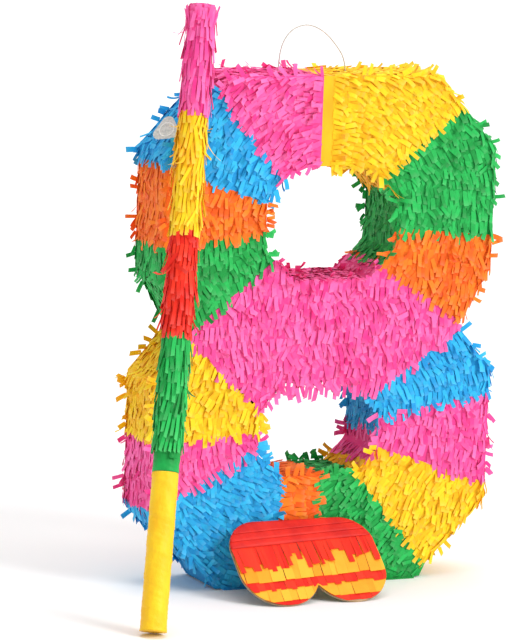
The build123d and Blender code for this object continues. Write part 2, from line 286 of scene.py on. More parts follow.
# ---------------------------------------------------------------- finishes
@dataclass(frozen=True)
class Finish:
    """One material: a shared effect with its own colours, on a Principled shader."""

    name: str
    slot: str
    light: Colour
    deep: Colour
    effect: str = "cut_paper"
    settings: tuple[tuple[str, float], ...] = ()
    relief: float = 0.3
    relief_depth: float = 0.0002
    sheen: float = 0.04
    specular: float = 0.3
    metallic: float = 0.0
    coat: float = 0.0

    def material(self, groups: ShaderGroups) -> bpy.types.Material:
        """Makes the material, or finds it if it is made already.

        Args:
            groups: The shared shader groups.

        Returns:
            The finished material.
        """
        found = bpy.data.materials.get(self.name)
        if found:
            return found
        made = bpy.data.materials.new(self.name)
        made.use_nodes = True
        nodes, links = made.node_tree.nodes, made.node_tree.links
        shader = nodes["Principled BSDF"]
        effect = nodes.new("ShaderNodeGroup")
        effect.node_tree = getattr(groups, self.effect)
        effect.inputs["Light"].default_value = (*self.light, 1.0)
        effect.inputs["Deep"].default_value = (*self.deep, 1.0)
        if self.effect == "cut_paper":
            # The tip colour is the light colour paled towards white, the painted light at the
            # strand tips.
            tip = tuple(0.55 * channel + 0.45 for channel in self.light)
            effect.inputs["Tip"].default_value = (*(min(1.0, c) for c in tip), 1.0)
        for label, value in self.settings:
            effect.inputs[label].default_value = value
        bump = nodes.new("ShaderNodeBump")
        bump.inputs["Strength"].default_value = self.relief
        bump.inputs["Distance"].default_value = self.relief_depth
        links.new(effect.outputs["Colour"], shader.inputs["Base Color"])
        links.new(effect.outputs["Roughness"], shader.inputs["Roughness"])
        links.new(effect.outputs["Height"], bump.inputs["Height"])
        links.new(bump.outputs["Normal"], shader.inputs["Normal"])
        shader.inputs["Sheen Weight"].default_value = self.sheen
        shader.inputs["Sheen Roughness"].default_value = 0.5
        shader.inputs["Specular IOR Level"].default_value = self.specular
        shader.inputs["Metallic"].default_value = self.metallic
        shader.inputs["Coat Weight"].default_value = self.coat
        return made


class Papers:
    """Every finish of the set."""

    pink = Finish("tissue_pink", "paper_pink", srgb(255, 108, 180), srgb(238, 40, 134))
    blue = Finish("tissue_blue", "paper_blue", srgb(46, 188, 240), srgb(8, 138, 208))
    orange = Finish("tissue_orange", "paper_orange", srgb(255, 132, 24), srgb(242, 84, 6))
    green = Finish("tissue_green", "paper_green", srgb(36, 190, 88), srgb(4, 138, 54))
    yellow = Finish("tissue_yellow", "paper_yellow", srgb(255, 216, 24), srgb(250, 180, 4))
    red = Finish("tissue_red", "paper_red", srgb(252, 54, 26), srgb(222, 20, 8))
    amber = Finish("tissue_amber", "paper_amber", srgb(255, 190, 50), srgb(248, 152, 22))
    plain_yellow = Finish(
        "smooth_paper_yellow", "paper_yellow_plain", srgb(255, 190, 14), srgb(248, 166, 6),
        "creases", (("Scale", 35.0),), relief=0.4, relief_depth=0.0006)
    handle_yellow = Finish(
        "wrapped_paper_yellow", "paper_yellow_plain", srgb(255, 210, 20), srgb(250, 190, 8),
        "creases", (("Scale", 48.0),), relief=0.8, relief_depth=0.0016, specular=0.4)
    band_green = Finish(
        "wrapped_paper_green", "paper_green", srgb(20, 178, 80), srgb(4, 140, 56),
        "creases", (("Scale", 60.0),), relief=0.5, relief_depth=0.001)
    band_red = Finish(
        "smooth_paper_red", "paper_red", srgb(236, 40, 22), srgb(208, 20, 12),
        "creases", (("Scale", 50.0),), relief=0.35, relief_depth=0.0005)
    board = Finish(
        "kraft_board", "corrugated_card", srgb(196, 156, 108), srgb(168, 126, 82),
        "fibres", (("Scale", 260.0), ("Across Z", 0.15)), relief=0.5, relief_depth=0.0006)
    mask_board = Finish(
        "grey_board", "mask_board", srgb(196, 168, 128), srgb(160, 130, 92),
        "fibres", (("Scale", 300.0), ("Across X", 0.4)), relief=0.25)
    wood = Finish(
        "pale_dowel", "dowel_wood", srgb(222, 186, 136), srgb(186, 142, 92),
        "fibres", (("Scale", 320.0), ("Across Z", 0.06)), relief=0.4, sheen=0.0)
    webbing = Finish(
        "knitted_elastic", "elastic_webbing", srgb(238, 236, 230), srgb(196, 194, 188),
        "fibres", (("Scale", 900.0), ("Across Y", 0.1)), relief=0.6, relief_depth=0.0003)
    wire = Finish(
        "staple_steel", "staple_wire", srgb(196, 198, 202), srgb(150, 152, 158),
        "fibres", (("Scale", 600.0),), relief=0.15, sheen=0.0, metallic=1.0, specular=0.5)
    tag = Finish(
        "silvered_card", "tag_card", srgb(226, 226, 220), srgb(188, 190, 186),
        "fibres", (("Scale", 420.0),), relief=0.2, specular=0.5, coat=0.4, metallic=0.25)
    tag_ring = Finish(
        "pale_foil_ring", "tag_card", srgb(246, 246, 242), srgb(222, 224, 220),
        "fibres", (("Scale", 500.0),), relief=0.15, specular=0.6, coat=0.6)
    line = Finish(
        "clear_line", "nylon_line", srgb(206, 200, 188), srgb(168, 162, 150),
        "fibres", (("Scale", 500.0),), relief=0.1, sheen=0.0, specular=0.6, coat=0.5)


# ---------------------------------------------------------------- paper meshes
@dataclass(frozen=True)
class StrandCut:
    """How a strip of paper is cut and how its strands stand. Metres and degrees."""

    width: float = 5.5 * MM
    gap: float = 0.6 * MM
    length: float = 15.0 * MM
    lengths: tuple[float, float] = (0.66, 1.12)
    widths: tuple[float, float] = (0.72, 1.12)
    row_pitch: float = 7.4 * MM
    clump: float = 4.0
    root_lift: tuple[float, float] = (2.0, 24.0)
    tip_lift: tuple[float, float] = (-18.0, 10.0)
    wild_share: float = 0.1
    wild_lift: tuple[float, float] = (20.0, 70.0)
    sway: float = 14.0
    stray_share: float = 0.12
    stray: float = 45.0
    twist: float = 9.0
    thickness: float = 0.22 * MM
    segments: int = 4


class PaperMesh:
    """Collects strands and sheets of paper, and makes one mesh of them.

    Strands come in clumps, torn from one comb of cuts: `own_...` is what a strand does by
    itself beside what its whole clump does.
    """

    own_sway = 0.25
    usual_rise, clump_rise, own_rise = 0.45, 0.3, 0.1
    bend_of_sway, own_bend = 0.5, 0.3
    taper_spread = 0.08
    slant_spread = 0.5 * MM

    def __init__(self, seed: int) -> None:
        """Starts empty, with its own seeded draws."""
        self.rng = np.random.default_rng(seed)
        self.points: list[np.ndarray] = []
        self.faces: list[np.ndarray] = []
        self.plates: list[list[int]] = []
        self.tones: list[np.ndarray] = []
        self.alongs: list[np.ndarray] = []
        self.count = 0

    def _keep(self, points: np.ndarray, faces: np.ndarray, tone: np.ndarray,
              along: np.ndarray) -> None:
        """Stores some points, their faces and their two painted values."""
        self.faces.append(faces + self.count)
        self.points.append(np.maximum(points.reshape(-1, 3), (-np.inf, -np.inf, LOWEST)))
        self.tones.append(tone.reshape(-1))
        self.alongs.append(along.reshape(-1))
        self.count += len(self.points[-1])

    def ribbons(self, centres: np.ndarray, sides: np.ndarray, normals: np.ndarray,
                widths: np.ndarray, thickness: float, slants: np.ndarray) -> None:
        """Adds closed paper ribbons.

        Args:
            centres: Centre line of each ribbon, (ribbons, points, 3).
            sides: Unit vector across each ribbon at each point.
            normals: Unit vector out of the paper at each point.
            widths: Width at each point, (ribbons, points).
            thickness: Thickness of the paper.
            slants: How far each cut end leans along its ribbon.
        """
        count, steps = centres.shape[:2]
        half_side = sides * (widths / 2)[..., None]
        half_normal = normals * thickness / 2
        corners = np.stack([
            centres - half_side - half_normal, centres + half_side - half_normal,
            centres + half_side + half_normal, centres - half_side + half_normal], axis=2)
        ends = unit(centres[:, -1] - centres[:, -2]) * slants[:, None]
        corners[:, -1, 0] -= ends
        corners[:, -1, 3] -= ends
        corners[:, -1, 1] += ends
        corners[:, -1, 2] += ends
        index = np.arange(count * steps * 4).reshape(count, steps, 4)
        faces = []
        for a in range(4):
            b = (a + 1) % 4
            faces.append(np.stack(
                [index[:, :-1, b], index[:, :-1, a], index[:, 1:, a], index[:, 1:, b]], axis=-1
            ).reshape(-1, 4))
        faces.append(index[:, 0, [0, 1, 2, 3]])
        faces.append(index[:, -1, [3, 2, 1, 0]])
        tone = np.broadcast_to(self.rng.random(count)[:, None, None], (count, steps, 4))
        along = np.broadcast_to(np.linspace(0, 1, steps)[None, :, None], (count, steps, 4))
        self._keep(corners, np.concatenate(faces), tone, along)

    def strands(self, roots: np.ndarray, flows: Ways, normals: Ways, cut: StrandCut,
                lengths: np.ndarray | None = None, floor: float | None = None) -> None:
        """Adds curled strands.

        Args:
            roots: Where each strand starts.
            flows: The way each strand lies, or one way for all.
            normals: Out of the surface under each strand, or one way for all.
            cut: How the paper is cut and stands.
            lengths: Each strand's length, or None for the cut's own.
            floor: A level that no strand goes under.
        """
        count = len(roots)
        if not count:
            return
        draw = self.rng
        normals = unit(np.broadcast_to(normals, roots.shape))
        flows = np.broadcast_to(flows, roots.shape)
        flows = unit(flows - normals * np.sum(flows * normals, axis=1, keepdims=True))
        clumps = np.cumsum(draw.random(count) < 1 / cut.clump)
        shared = draw.normal(0, 1, (int(clumps[-1]) + 1, 3))[clumps]
        own = draw.normal(0, 1, (count, 3))
        sway = np.radians(cut.sway) * (shared[:, 0] + self.own_sway * own[:, 0])
        stray = draw.random(count) < cut.stray_share
        sway[stray] += np.radians(draw.normal(0, cut.stray, stray.sum()))
        rise = np.clip(
            self.usual_rise + self.clump_rise * shared[:, 1] + self.own_rise * own[:, 1], 0, 1)
        root_lift = np.radians(np.interp(rise, (0, 1), cut.root_lift))
        tip_lift = np.radians(draw.uniform(*cut.tip_lift, count))
        wild = draw.random(count) < cut.wild_share
        tip_lift[wild] = np.radians(draw.uniform(*cut.wild_lift, wild.sum()))
        bend = np.radians(cut.sway * self.bend_of_sway) * (
            shared[:, 2] + self.own_bend * own[:, 2])
        twist = np.radians(draw.normal(0, cut.twist, count))
        if lengths is None:
            lengths = cut.length * draw.uniform(*cut.lengths, count)
        widths = (cut.width - cut.gap) * draw.uniform(*cut.widths, count)
        across = np.cross(normals, flows)
        steps = cut.segments + 1
        centres = np.zeros((count, steps, 3))
        sides, outs = np.zeros_like(centres), np.zeros_like(centres)
        centres[:, 0] = roots
        for step in range(steps):
            share = step / cut.segments
            lift = root_lift + (tip_lift - root_lift) * share
            turn = sway + bend * share
            level = flows * np.cos(turn)[:, None] + across * np.sin(turn)[:, None]
            heading = level * np.cos(lift)[:, None] + normals * np.sin(lift)[:, None]
            if step:
                pace = (lengths / cut.segments)[:, None]
                centres[:, step] = centres[:, step - 1] + heading * pace
            out = unit(normals - heading * np.sum(normals * heading, axis=1, keepdims=True))
            side = np.cross(heading, out)
            roll = (twist * share)[:, None]
            sides[:, step] = side * np.cos(roll) + out * np.sin(roll)
            outs[:, step] = out * np.cos(roll) - side * np.sin(roll)
        taper = 1 + draw.normal(0, self.taper_spread, (count, 1)) * np.linspace(0, 1, steps)
        if floor is not None:
            centres[:, :, 2] = np.maximum(centres[:, :, 2], floor)
        slants = draw.normal(0, self.slant_spread, count)
        self.ribbons(centres, sides, outs, widths[:, None] * taper, cut.thickness, slants)

    def wrap(self, outer: np.ndarray, inner: np.ndarray, tone: float = BACKING_PAINTED_SHADE) -> None:
        """Adds a closed tube of paper.

        Args:
            outer: Its outer face as rings of points, (rings, points, 3).
            inner: Its inner face, point for point.
            tone: The painted value that sets its colour; by default the backing's dark value,
                which is painted shade under the strands.
        """
        rings, size = outer.shape[:2]
        index = np.arange(2 * rings * size).reshape(2, rings, size)
        turned = np.roll(index, -1, axis=2)
        faces = []
        for side in (0, 1):
            a, b = (index, turned) if side == 0 else (turned, index)
            faces.append(np.stack(
                [a[side, :-1], b[side, :-1], b[side, 1:], a[side, 1:]], axis=-1).reshape(-1, 4))
        for ring in (0, -1):
            faces.append(np.stack(
                [index[0, ring], turned[0, ring], turned[1, ring], index[1, ring]], axis=-1))
        count = 2 * rings * size
        self._keep(np.stack([outer, inner]), np.concatenate(faces),
                   np.full(count, tone), np.zeros(count))

    def sheet(self, top: np.ndarray, out: np.ndarray, thickness: float,
              tone: float = BACKING_PAINTED_SHADE) -> None:
        """Adds a sheet of paper from a grid of points.

        Args:
            top: Grid of points on its face, (rows, columns, 3).
            out: Unit vector out of the sheet, the same all over or one for each point.
            thickness: Thickness of the paper.
            tone: The painted value that sets its colour; by default the backing's dark value,
                which is painted shade under the strands.
        """
        rows, columns = top.shape[:2]
        index = np.arange(2 * rows * columns).reshape(2, rows, columns)
        faces = [
            np.stack([index[0, :-1, :-1], index[0, 1:, :-1], index[0, 1:, 1:],
                      index[0, :-1, 1:]], axis=-1).reshape(-1, 4),
            np.stack([index[1, :-1, :-1], index[1, :-1, 1:], index[1, 1:, 1:],
                      index[1, 1:, :-1]], axis=-1).reshape(-1, 4)]
        cells = [(0, c) for c in range(columns)] + [(r, columns - 1) for r in range(1, rows)]
        cells += [(rows - 1, c) for c in range(columns - 2, -1, -1)]
        cells += [(r, 0) for r in range(rows - 2, 0, -1)]
        rim = np.array([index[:, row, column] for row, column in cells])
        turned = np.roll(rim, -1, axis=0)
        faces.append(np.stack([rim[:, 0], turned[:, 0], turned[:, 1], rim[:, 1]], axis=-1))
        count = 2 * rows * columns
        self._keep(np.stack([top, top - out * thickness]), np.concatenate(faces),
                   np.full(count, tone), np.zeros(count))

    def solid(self, form: bmesh.types.BMesh) -> None:
        """Adds a closed form in the backing's dark tone, which is painted shade under the strands,
        and frees it.
        """
        bmesh.ops.triangulate(form, faces=form.faces)
        form.verts.index_update()
        points = np.array([v.co for v in form.verts], float)
        self.plates += [[self.count + v.index for v in face.verts] for face in form.faces]
        self._keep(points, np.zeros((0, 4), int), np.full(len(points), BACKING_PAINTED_SHADE),
                   np.zeros(len(points)))
        form.free()

    def make(self, name: str, material: bpy.types.Material, smooth: bool = False
             ) -> bpy.types.Object:
        """Makes the object.

        Args:
            name: The piece's name.
            material: Its finish.
            smooth: Whether its faces are shaded smooth.

        Returns:
            The new object, in the scene.
        """
        faces = np.concatenate(self.faces).tolist() + self.plates
        mesh = bpy.data.meshes.new(name)
        mesh.from_pydata(np.concatenate(self.points).tolist(), [], faces)
        form = bmesh.new()
        form.from_mesh(mesh)
        bmesh.ops.recalc_face_normals(form, faces=form.faces)
        form.to_mesh(mesh)
        form.free()
        for label, values in (("tone", self.tones), ("along", self.alongs)):
            attribute = mesh.attributes.new(label, "FLOAT", "POINT")
            attribute.data.foreach_set("value", np.concatenate(values).astype(np.float32))
        if smooth:
            mesh.polygons.foreach_set("use_smooth", [True] * len(mesh.polygons))
        mesh.materials.append(material)
        made = bpy.data.objects.new(name, mesh)
        bpy.context.scene.collection.objects.link(made)
        return made


# ---------------------------------------------------------------- reading the frame
def front_loops(node: str, normal: Sequence[float] = (0, -1, 0),
                up: Sequence[float] = (0, 0, 1)) -> list[np.ndarray]:
    """Reads the edges of a CAD node's frontmost flat face.

    Args:
        node: The CAD node's name.
        normal: The way that the face looks.
        up: The face's upward direction.

    Returns:
        Closed loops of (right, up) points, with points in line left out.
    """
    step, straight = 0.01 * MM, 0.01
    points = vertices_of(node)
    flat = np.rint(points @ np.array([np.cross(up, normal), up]).T / step).astype(int)
    where = [tuple(place) for place in flat.tolist()]
    depth = points @ np.array(normal, float)
    front = depth > depth.max() - step
    following: dict[tuple, list[tuple]] = {}
    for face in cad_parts[node].data.polygons:
        if not all(front[v] for v in face.vertices):
            continue
        corners = [where[v] for v in face.vertices]
        for start, end in zip(corners, corners[1:] + corners[:1]):
            if start == end:
                continue
            if start in following.get(end, []):
                following[end].remove(start)
            else:
                following.setdefault(start, []).append(end)
    loops = []
    while any(following.values()):
        start = next(point for point, ends in following.items() if ends)
        loop, point = [], start
        while following.get(point):
            loop.append(point)
            point = following[point].pop()
        ring = np.array(loop, float) * step
        into, onward = ring - np.roll(ring, 1, axis=0), np.roll(ring, -1, axis=0) - ring
        bend = np.cross(unit(into), unit(onward))
        loops.append(ring[np.abs(bend) > straight])
    return sorted(loops, key=lambda ring: -np.ptp(ring[:, 0]) * np.ptp(ring[:, 1]))


def distance_to(loop: np.ndarray, point: np.ndarray) -> float:
    """Distance from a point to a closed loop of points."""
    return float(np.linalg.norm(nearest_on(loop, point)[0] - point))


def nearest_on(loop: np.ndarray, point: np.ndarray) -> tuple[np.ndarray, int]:
    """Finds the nearest place on a closed loop.

    Args:
        loop: The loop's corners.
        point: The point to measure from.

    Returns:
        The nearest place and the number of its side.
    """
    ends = np.roll(loop, -1, axis=0)
    sides = ends - loop
    share = np.sum((point - loop) * sides, axis=1) / np.sum(sides * sides, axis=1)
    places = loop + sides * np.clip(share, 0, 1)[:, None]
    best = int(np.argmin(np.linalg.norm(places - point, axis=1)))
    return places[best], best


def along_path(path: np.ndarray, share: float) -> np.ndarray:
    """Point at a share of the way along a path."""
    steps = np.linalg.norm(np.diff(path, axis=0), axis=1)
    reached = np.concatenate([[0], np.cumsum(steps)])
    where = share * reached[-1]
    return np.array([np.interp(where, reached, path[:, axis]) for axis in (0, 1)])


def length_of(path: np.ndarray) -> float:
    """Length of a path."""
    return float(np.linalg.norm(np.diff(path, axis=0), axis=1).sum())


def square_to(run: np.ndarray, towards: np.ndarray) -> np.ndarray:
    """Unit vector square to a run in the plane of the front, on the side of a direction."""
    normal = unit(np.array([-run[1], run[0]]))
    return normal if normal @ towards > 0 else -normal


def corner_shares(path: np.ndarray) -> list[float]:
    """How far along a path each of its inner corners is, as a share."""
    reached = np.cumsum(np.linalg.norm(np.diff(path, axis=0), axis=1))
    return [float(at / reached[-1]) for at in reached[:-1]]


def vertices_of(node: str) -> np.ndarray:
    """All points of a CAD node."""
    return np.array([v.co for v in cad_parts[node].data.vertices], float)


def widest_normal(node: str) -> np.ndarray:
    """Normal of a CAD node's largest flat direction, turned to face the front."""
    total = np.zeros((3, 3))
    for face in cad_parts[node].data.polygons:
        normal = np.array(face.normal)
        total += face.area * np.outer(normal, normal)
    normal = np.linalg.eigh(total)[1][:, -1]
    return normal if normal[1] < 0 else -normal


# ---------------------------------------------------------------- the eight
class Turn(Enum):
    """Which way a block's rows follow each other round its hole, seen from the front."""

    ANTICLOCKWISE = 1
    CLOCKWISE = -1


@dataclass(frozen=True)
class Block:
    """One colour block of the fringe.

    On the wall inside its hole a block may reach on over the next one: `over` is the share
    of the next block's wall that it covers, and `under` the share of its own that is covered.
    `opening` marks the block that the fill opening is cut in, which starts at the top seam.
    """

    name: str
    finish: Finish
    turn: Turn
    hole: int
    over: float = 0.0
    under: float = 0.0
    opening: bool = False


BLOCKS = (
    Block("pink_top", Papers.pink, Turn.ANTICLOCKWISE, 0),
    Block("blue_upper_left", Papers.blue, Turn.ANTICLOCKWISE, 0),
    Block("orange_left", Papers.orange, Turn.ANTICLOCKWISE, 0),
    Block("green_left", Papers.green, Turn.ANTICLOCKWISE, 0),
    Block("yellow_top", Papers.yellow, Turn.CLOCKWISE, 0, over=0.32, opening=True),
    Block("green_right", Papers.green, Turn.CLOCKWISE, 0, over=0.9, under=0.32),
    Block("orange_right", Papers.orange, Turn.CLOCKWISE, 0, under=0.9),
    Block("yellow_left", Papers.yellow, Turn.ANTICLOCKWISE, 1),
    Block("pink_left", Papers.pink, Turn.ANTICLOCKWISE, 1),
    Block("blue_lower_left", Papers.blue, Turn.ANTICLOCKWISE, 1),
    Block("orange_bottom", Papers.orange, Turn.ANTICLOCKWISE, 1),
    Block("blue_right", Papers.blue, Turn.CLOCKWISE, 1, over=0.32),
    Block("pink_right", Papers.pink, Turn.CLOCKWISE, 1, over=0.4, under=0.32),
    Block("yellow_lower_right", Papers.yellow, Turn.CLOCKWISE, 1, under=0.4),
    Block("green_bottom", Papers.green, Turn.CLOCKWISE, 1),
)


@dataclass
class FringedEight:
    """The card eight's coat of fringe, a block of one colour at a time."""

    groups: ShaderGroups
    cut: StrandCut = StrandCut()
    root_height: float = 1.4 * MM
    root_scatter: float = 1.0 * MM
    level_scatter: float = 0.8 * MM
    backing_height: float = 1.1 * MM
    backing_inside: float = 0.2 * MM
    soft_corner: float = 9.0 * MM
    least_slope: float = 0.45
    row_stretch: float = 1.15
    row_start: float = 0.15
    crowding: float = 0.75
    wall_shortening: float = 0.85
    droop: float = 0.18
    lean_forward: float = 0.18
    wall_reach: float = 1.6
    wall_paper: float = 0.15 * MM
    floor_clearance: float = 0.5 * MM
    fray: StrandCut = StrandCut(
        length=12.5 * MM, root_lift=(-4.0, 14.0), wild_share=0.0, sway=24.0, stray_share=0.0)
    hole_fray: float = 0.42
    outline_fray: float = 0.34
    foot_fray: float = 0.8
    foot_height: float = 18.0 * MM
    fray_scatter: float = 1.2 * MM
    seam_strands: int = 9
    clear_below: float = 2.0 * MM
    clear_above: float = 11.0 * MM
    clear_beside: float = 3.0 * MM
    clear_ahead: float = 1.0 * MM
    shortest: float = 3.0 * MM
    seed: int = 80

    def __post_init__(self) -> None:
        """Reads the card's outline, its holes and its depth from the frame."""
        self.outline, *holes = front_loops("front_panel")
        self.holes = sorted(holes, key=lambda ring: -ring[:, 1].mean())
        self.half_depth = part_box("back_panel")[1].y
        self.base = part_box("front_panel")[0].z
        self.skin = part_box("fringe_pink_middle")[1].y - self.half_depth
        self.opening = self._opening()

    @staticmethod
    def _opening() -> tuple[np.ndarray, np.ndarray]:
        """Lowest and highest corner of the fill opening, a little larger than its flap."""
        low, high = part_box("fill_flap")
        edge, through, fold = 1.0 * MM, 20.0 * MM, 0.3 * MM
        return np.array(low) - (edge, through, edge), np.array(high) + (edge, through, fold)

    def build(self) -> None:
        """Builds every block and reports it."""
        for number, block in enumerate(BLOCKS):
            piece = self._block(block, self.seed + number)
            self._finish(piece, f"fringe_{block.name}", block.finish)
        piece = self._middle(self.seed + len(BLOCKS))
        self._finish(piece, "fringe_pink_middle", Papers.pink)

    def _finish(self, piece: bpy.types.Object, node: str, finish: Finish) -> None:
        """Puts a block on the pinata in place of its CAD node."""
        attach(piece, "pinata")
        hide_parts(node)
        log.info("%s: %d faces", piece.name, len(piece.data.polygons))

    def _sides_of(self, block: Block) -> tuple[np.ndarray, np.ndarray]:
        """Splits a block's front face into its edge at the hole and its outer edge.

        Args:
            block: The colour block.

        Returns:
            The hole's side and the outer side, both from the first row to the last.
        """
        loop = front_loops(f"fringe_{block.name}")[0]
        hole = self.holes[block.hole]
        near_hole = np.array([
            distance_to(hole, point) < distance_to(self.outline, point) for point in loop])
        first = next(
            i for i in range(len(loop)) if near_hole[i] and not near_hole[i - 1])
        loop, near_hole = np.roll(loop, -first, axis=0), np.roll(near_hole, -first)
        inner, outer = loop[near_hole], loop[~near_hole][::-1]
        centre = hole.mean(axis=0)
        start = (inner[0] + outer[0]) / 2 - centre
        end = (inner[-1] + outer[-1]) / 2 - centre
        turned = start[0] * end[1] - start[1] * end[0]
        if turned * block.turn.value < 0:
            inner, outer = inner[::-1], outer[::-1]
        return inner, outer

    def _edge_normal(self, loop: np.ndarray, point: np.ndarray, towards: np.ndarray
                     ) -> np.ndarray:
        """Direction out of the card's edge near a point, turned smoothly at its corners.

        Args:
            loop: The card's edge.
            point: The place on it.
            towards: A direction on the outward side of it.

        Returns:
            A unit vector in the plane of the front.
        """
        place, side = nearest_on(loop, point)
        size = len(loop)

        def side_normal(number: int) -> np.ndarray:
            """Outward normal of one side."""
            return square_to(loop[(number + 1) % size] - loop[number % size], towards)

        normal = side_normal(side)
        for corner, other in ((loop[side], side - 1), (loop[(side + 1) % size], side + 1)):
            near = 0.5 * max(0.0, 1 - np.linalg.norm(place - corner) / self.soft_corner)
            normal = normal + near * (side_normal(other) - normal)
        return unit(normal)

    def _inset(self, point: np.ndarray, normal: np.ndarray, along: np.ndarray,
               height: float) -> np.ndarray:
        """Moves a point of the fringe's face back along its row to a height over the card."""
        if point[1] < self.base + LOWEST:
            return point
        slope = max(self.least_slope, abs(float(normal @ along)))
        return point - along * (self.skin - height) / slope

    def _row(self, inner: np.ndarray, outer: np.ndarray, block: Block, height: float
             ) -> tuple[np.ndarray, np.ndarray]:
        """Works out one row's path round the limb.

        Args:
            inner: Where the row meets the hole.
            outer: Where it meets the outline.
            block: The colour block.
            height: Height over the card.

        Returns:
            The path's four corners and the outward normals of its four stretches.
        """
        along = unit(outer - inner)
        out = self._edge_normal(self.outline, outer, along)
        into = self._edge_normal(self.holes[block.hole], inner, -along)
        outer = self._inset(outer, out, along, height)
        inner = self._inset(inner, into, -along, height)
        depth = self.half_depth + height
        corners = np.array([
            (inner[0], -depth, inner[1]), (outer[0], -depth, outer[1]),
            (outer[0], depth, outer[1]), (inner[0], depth, inner[1])])
        normals = np.array([
            (0, -1, 0), (out[0], 0, out[1]), (0, 1, 0), (into[0], 0, into[1])])
        return corners, normals

    def _walk(self, corners: np.ndarray, normals: np.ndarray, draw: np.random.Generator
              ) -> tuple[np.ndarray, np.ndarray, np.ndarray]:
        """Steps round a row from strand to strand.

        Args:
            corners: The row's corners.
            normals: The outward normal of each stretch.
            draw: Seeded draws.

        Returns:
            Each strand's root, its outward normal, and how far out it is, from 0 at the
            hole to 1 at the outline.
        """
        roots, outs, reaches = [], [], []
        for side in range(4):
            start, end = corners[side], corners[(side + 1) % 4]
            length = float(np.linalg.norm(end - start))
            count = max(1, round(length / self.cut.width))
            at = (np.arange(count) + 0.5 + draw.uniform(-0.15, 0.15, count)) / count
            before = np.clip(1 - at * length / self.soft_corner, 0, 1)[:, None] / 2
            after = np.clip(1 - (1 - at) * length / self.soft_corner, 0, 1)[:, None] / 2
            normal = normals[side] + before * (normals[side - 1] - normals[side])
            normal = normal + after * (normals[(side + 1) % 4] - normal)
            roots.append(start + (end - start) * at[:, None])
            outs.append(unit(normal))
            reaches.append({0: at, 1: np.ones(count), 2: 1 - at, 3: np.zeros(count)}[side])
        return np.concatenate(roots), np.concatenate(outs), np.concatenate(reaches)

    def _block(self, block: Block, seed: int) -> bpy.types.Object:
        """Builds one colour block: its backing paper and all its rows of strands.

        Args:
            block: The colour block.
            seed: The seed of its draws.

        Returns:
            The block's piece.
        """
        inner, outer = self._sides_of(block)
        paper = PaperMesh(seed)
        self._backing(paper, block, inner, outer)
        if block.opening:
            paper = self._cut_opening(paper, seed)
        inner_length, outer_length = length_of(inner), length_of(outer)
        rows = max(2, math.ceil(outer_length / (self.row_stretch * self.cut.row_pitch)))
        for row in range(rows):
            share = (row + self.row_start) / rows
            start, end = along_path(inner, share), along_path(outer, share)
            corners, normals = self._row(start, end, block, self.root_height)
            roots, outs, reach = self._walk(corners, normals, paper.rng)
            local = (inner_length + (outer_length - inner_length) * reach) / rows
            thinning = np.maximum(1.0, self.crowding * self.cut.row_pitch / local)
            stride = 2 ** np.ceil(np.log2(thinning)).astype(int)
            along = unit(end - start)
            flow = np.array([-along[1], 0, along[0]]) * block.turn.value
            on_base = (outs[:, 2] < -0.8) & (reach > 0.5)
            covered = share < block.under
            kept = (row % stride == 0) & ~on_base & ~((reach == 0) & covered)
            lengths = self.cut.length * paper.rng.uniform(*self.cut.lengths, len(roots))
            lengths *= np.where(reach < 0.02, self.wall_shortening, 1.0)
            if block.opening:
                kept, lengths = self._clear_opening(roots, kept, lengths)
            flows = flow + np.array([0, 0, -self.droop])
            jitter = unit(np.broadcast_to(flow, roots.shape))
            roots = roots + jitter * paper.rng.normal(0, self.root_scatter, (len(roots), 1))
            paper.strands(
                roots[kept], flows, outs[kept], self.cut, lengths[kept], self.floor_clearance)
            self._fray_row(paper, corners, along, flow, covered)
        if block.opening:
            self._over_seam(paper)
        if block.over:
            self._reach_on(paper, block, BLOCKS[BLOCKS.index(block) + 1])
        return paper.make(f"strands_{block.name}", block.finish.material(self.groups))

    def _over_seam(self, paper: PaperMesh) -> None:
        """Lays a few loose yellow strands over the top seam, onto the pink block."""
        low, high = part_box("plain_yellow_strip")
        count = self.seam_strands
        roots = np.stack([
            low.x + paper.rng.uniform(0.5 * MM, 5.0 * MM, count),
            low.y + paper.rng.uniform(1.0 * MM, 24.0 * MM, count),
            np.full(count, high.z + 0.2 * MM)], axis=1)
        paper.strands(roots, (-1.0, 0.0, 0.0), (0.0, 0.0, 1.0), self.fray)

    def _fray_row(self, paper: PaperMesh, corners: np.ndarray, along: np.ndarray,
                  flow: np.ndarray, covered: bool) -> None:
        """Lets an odd strand of a row stick out past the edges of the limb.

        Args:
            paper: The block's mesh.
            corners: The row's corners, from the hole's front round to the hole's back.
            along: The way from the hole to the outline.
            flow: The way the row's strands lie.
            covered: Whether the block before covers this row's wall in the hole.
        """
        outward = np.array([along[0], 0, along[1]])
        low = corners[:, 2] < self.foot_height
        shares = np.array([
            self.hole_fray, self.outline_fray, self.outline_fray,
            0.0 if covered else self.hole_fray])
        shares = np.where(low, self.foot_fray, shares)
        faces = np.array([(0.0, -1, 0), (0, -1, 0), (0, 1, 0), (0, 1, 0)])
        flows = np.array([-outward, outward, outward, -outward]) + 0.35 * flow
        flows[low] = flow + 0.5 * faces[low]
        roots = corners + paper.rng.normal(0, self.fray_scatter, (4, 1)) * flow
        roots[low, 2] += paper.rng.uniform(2.0 * MM, 9.0 * MM, low.sum())
        out = paper.rng.random(4) < shares
        paper.strands(
            roots[out], flows[out], faces[out], self.fray, floor=self.floor_clearance)

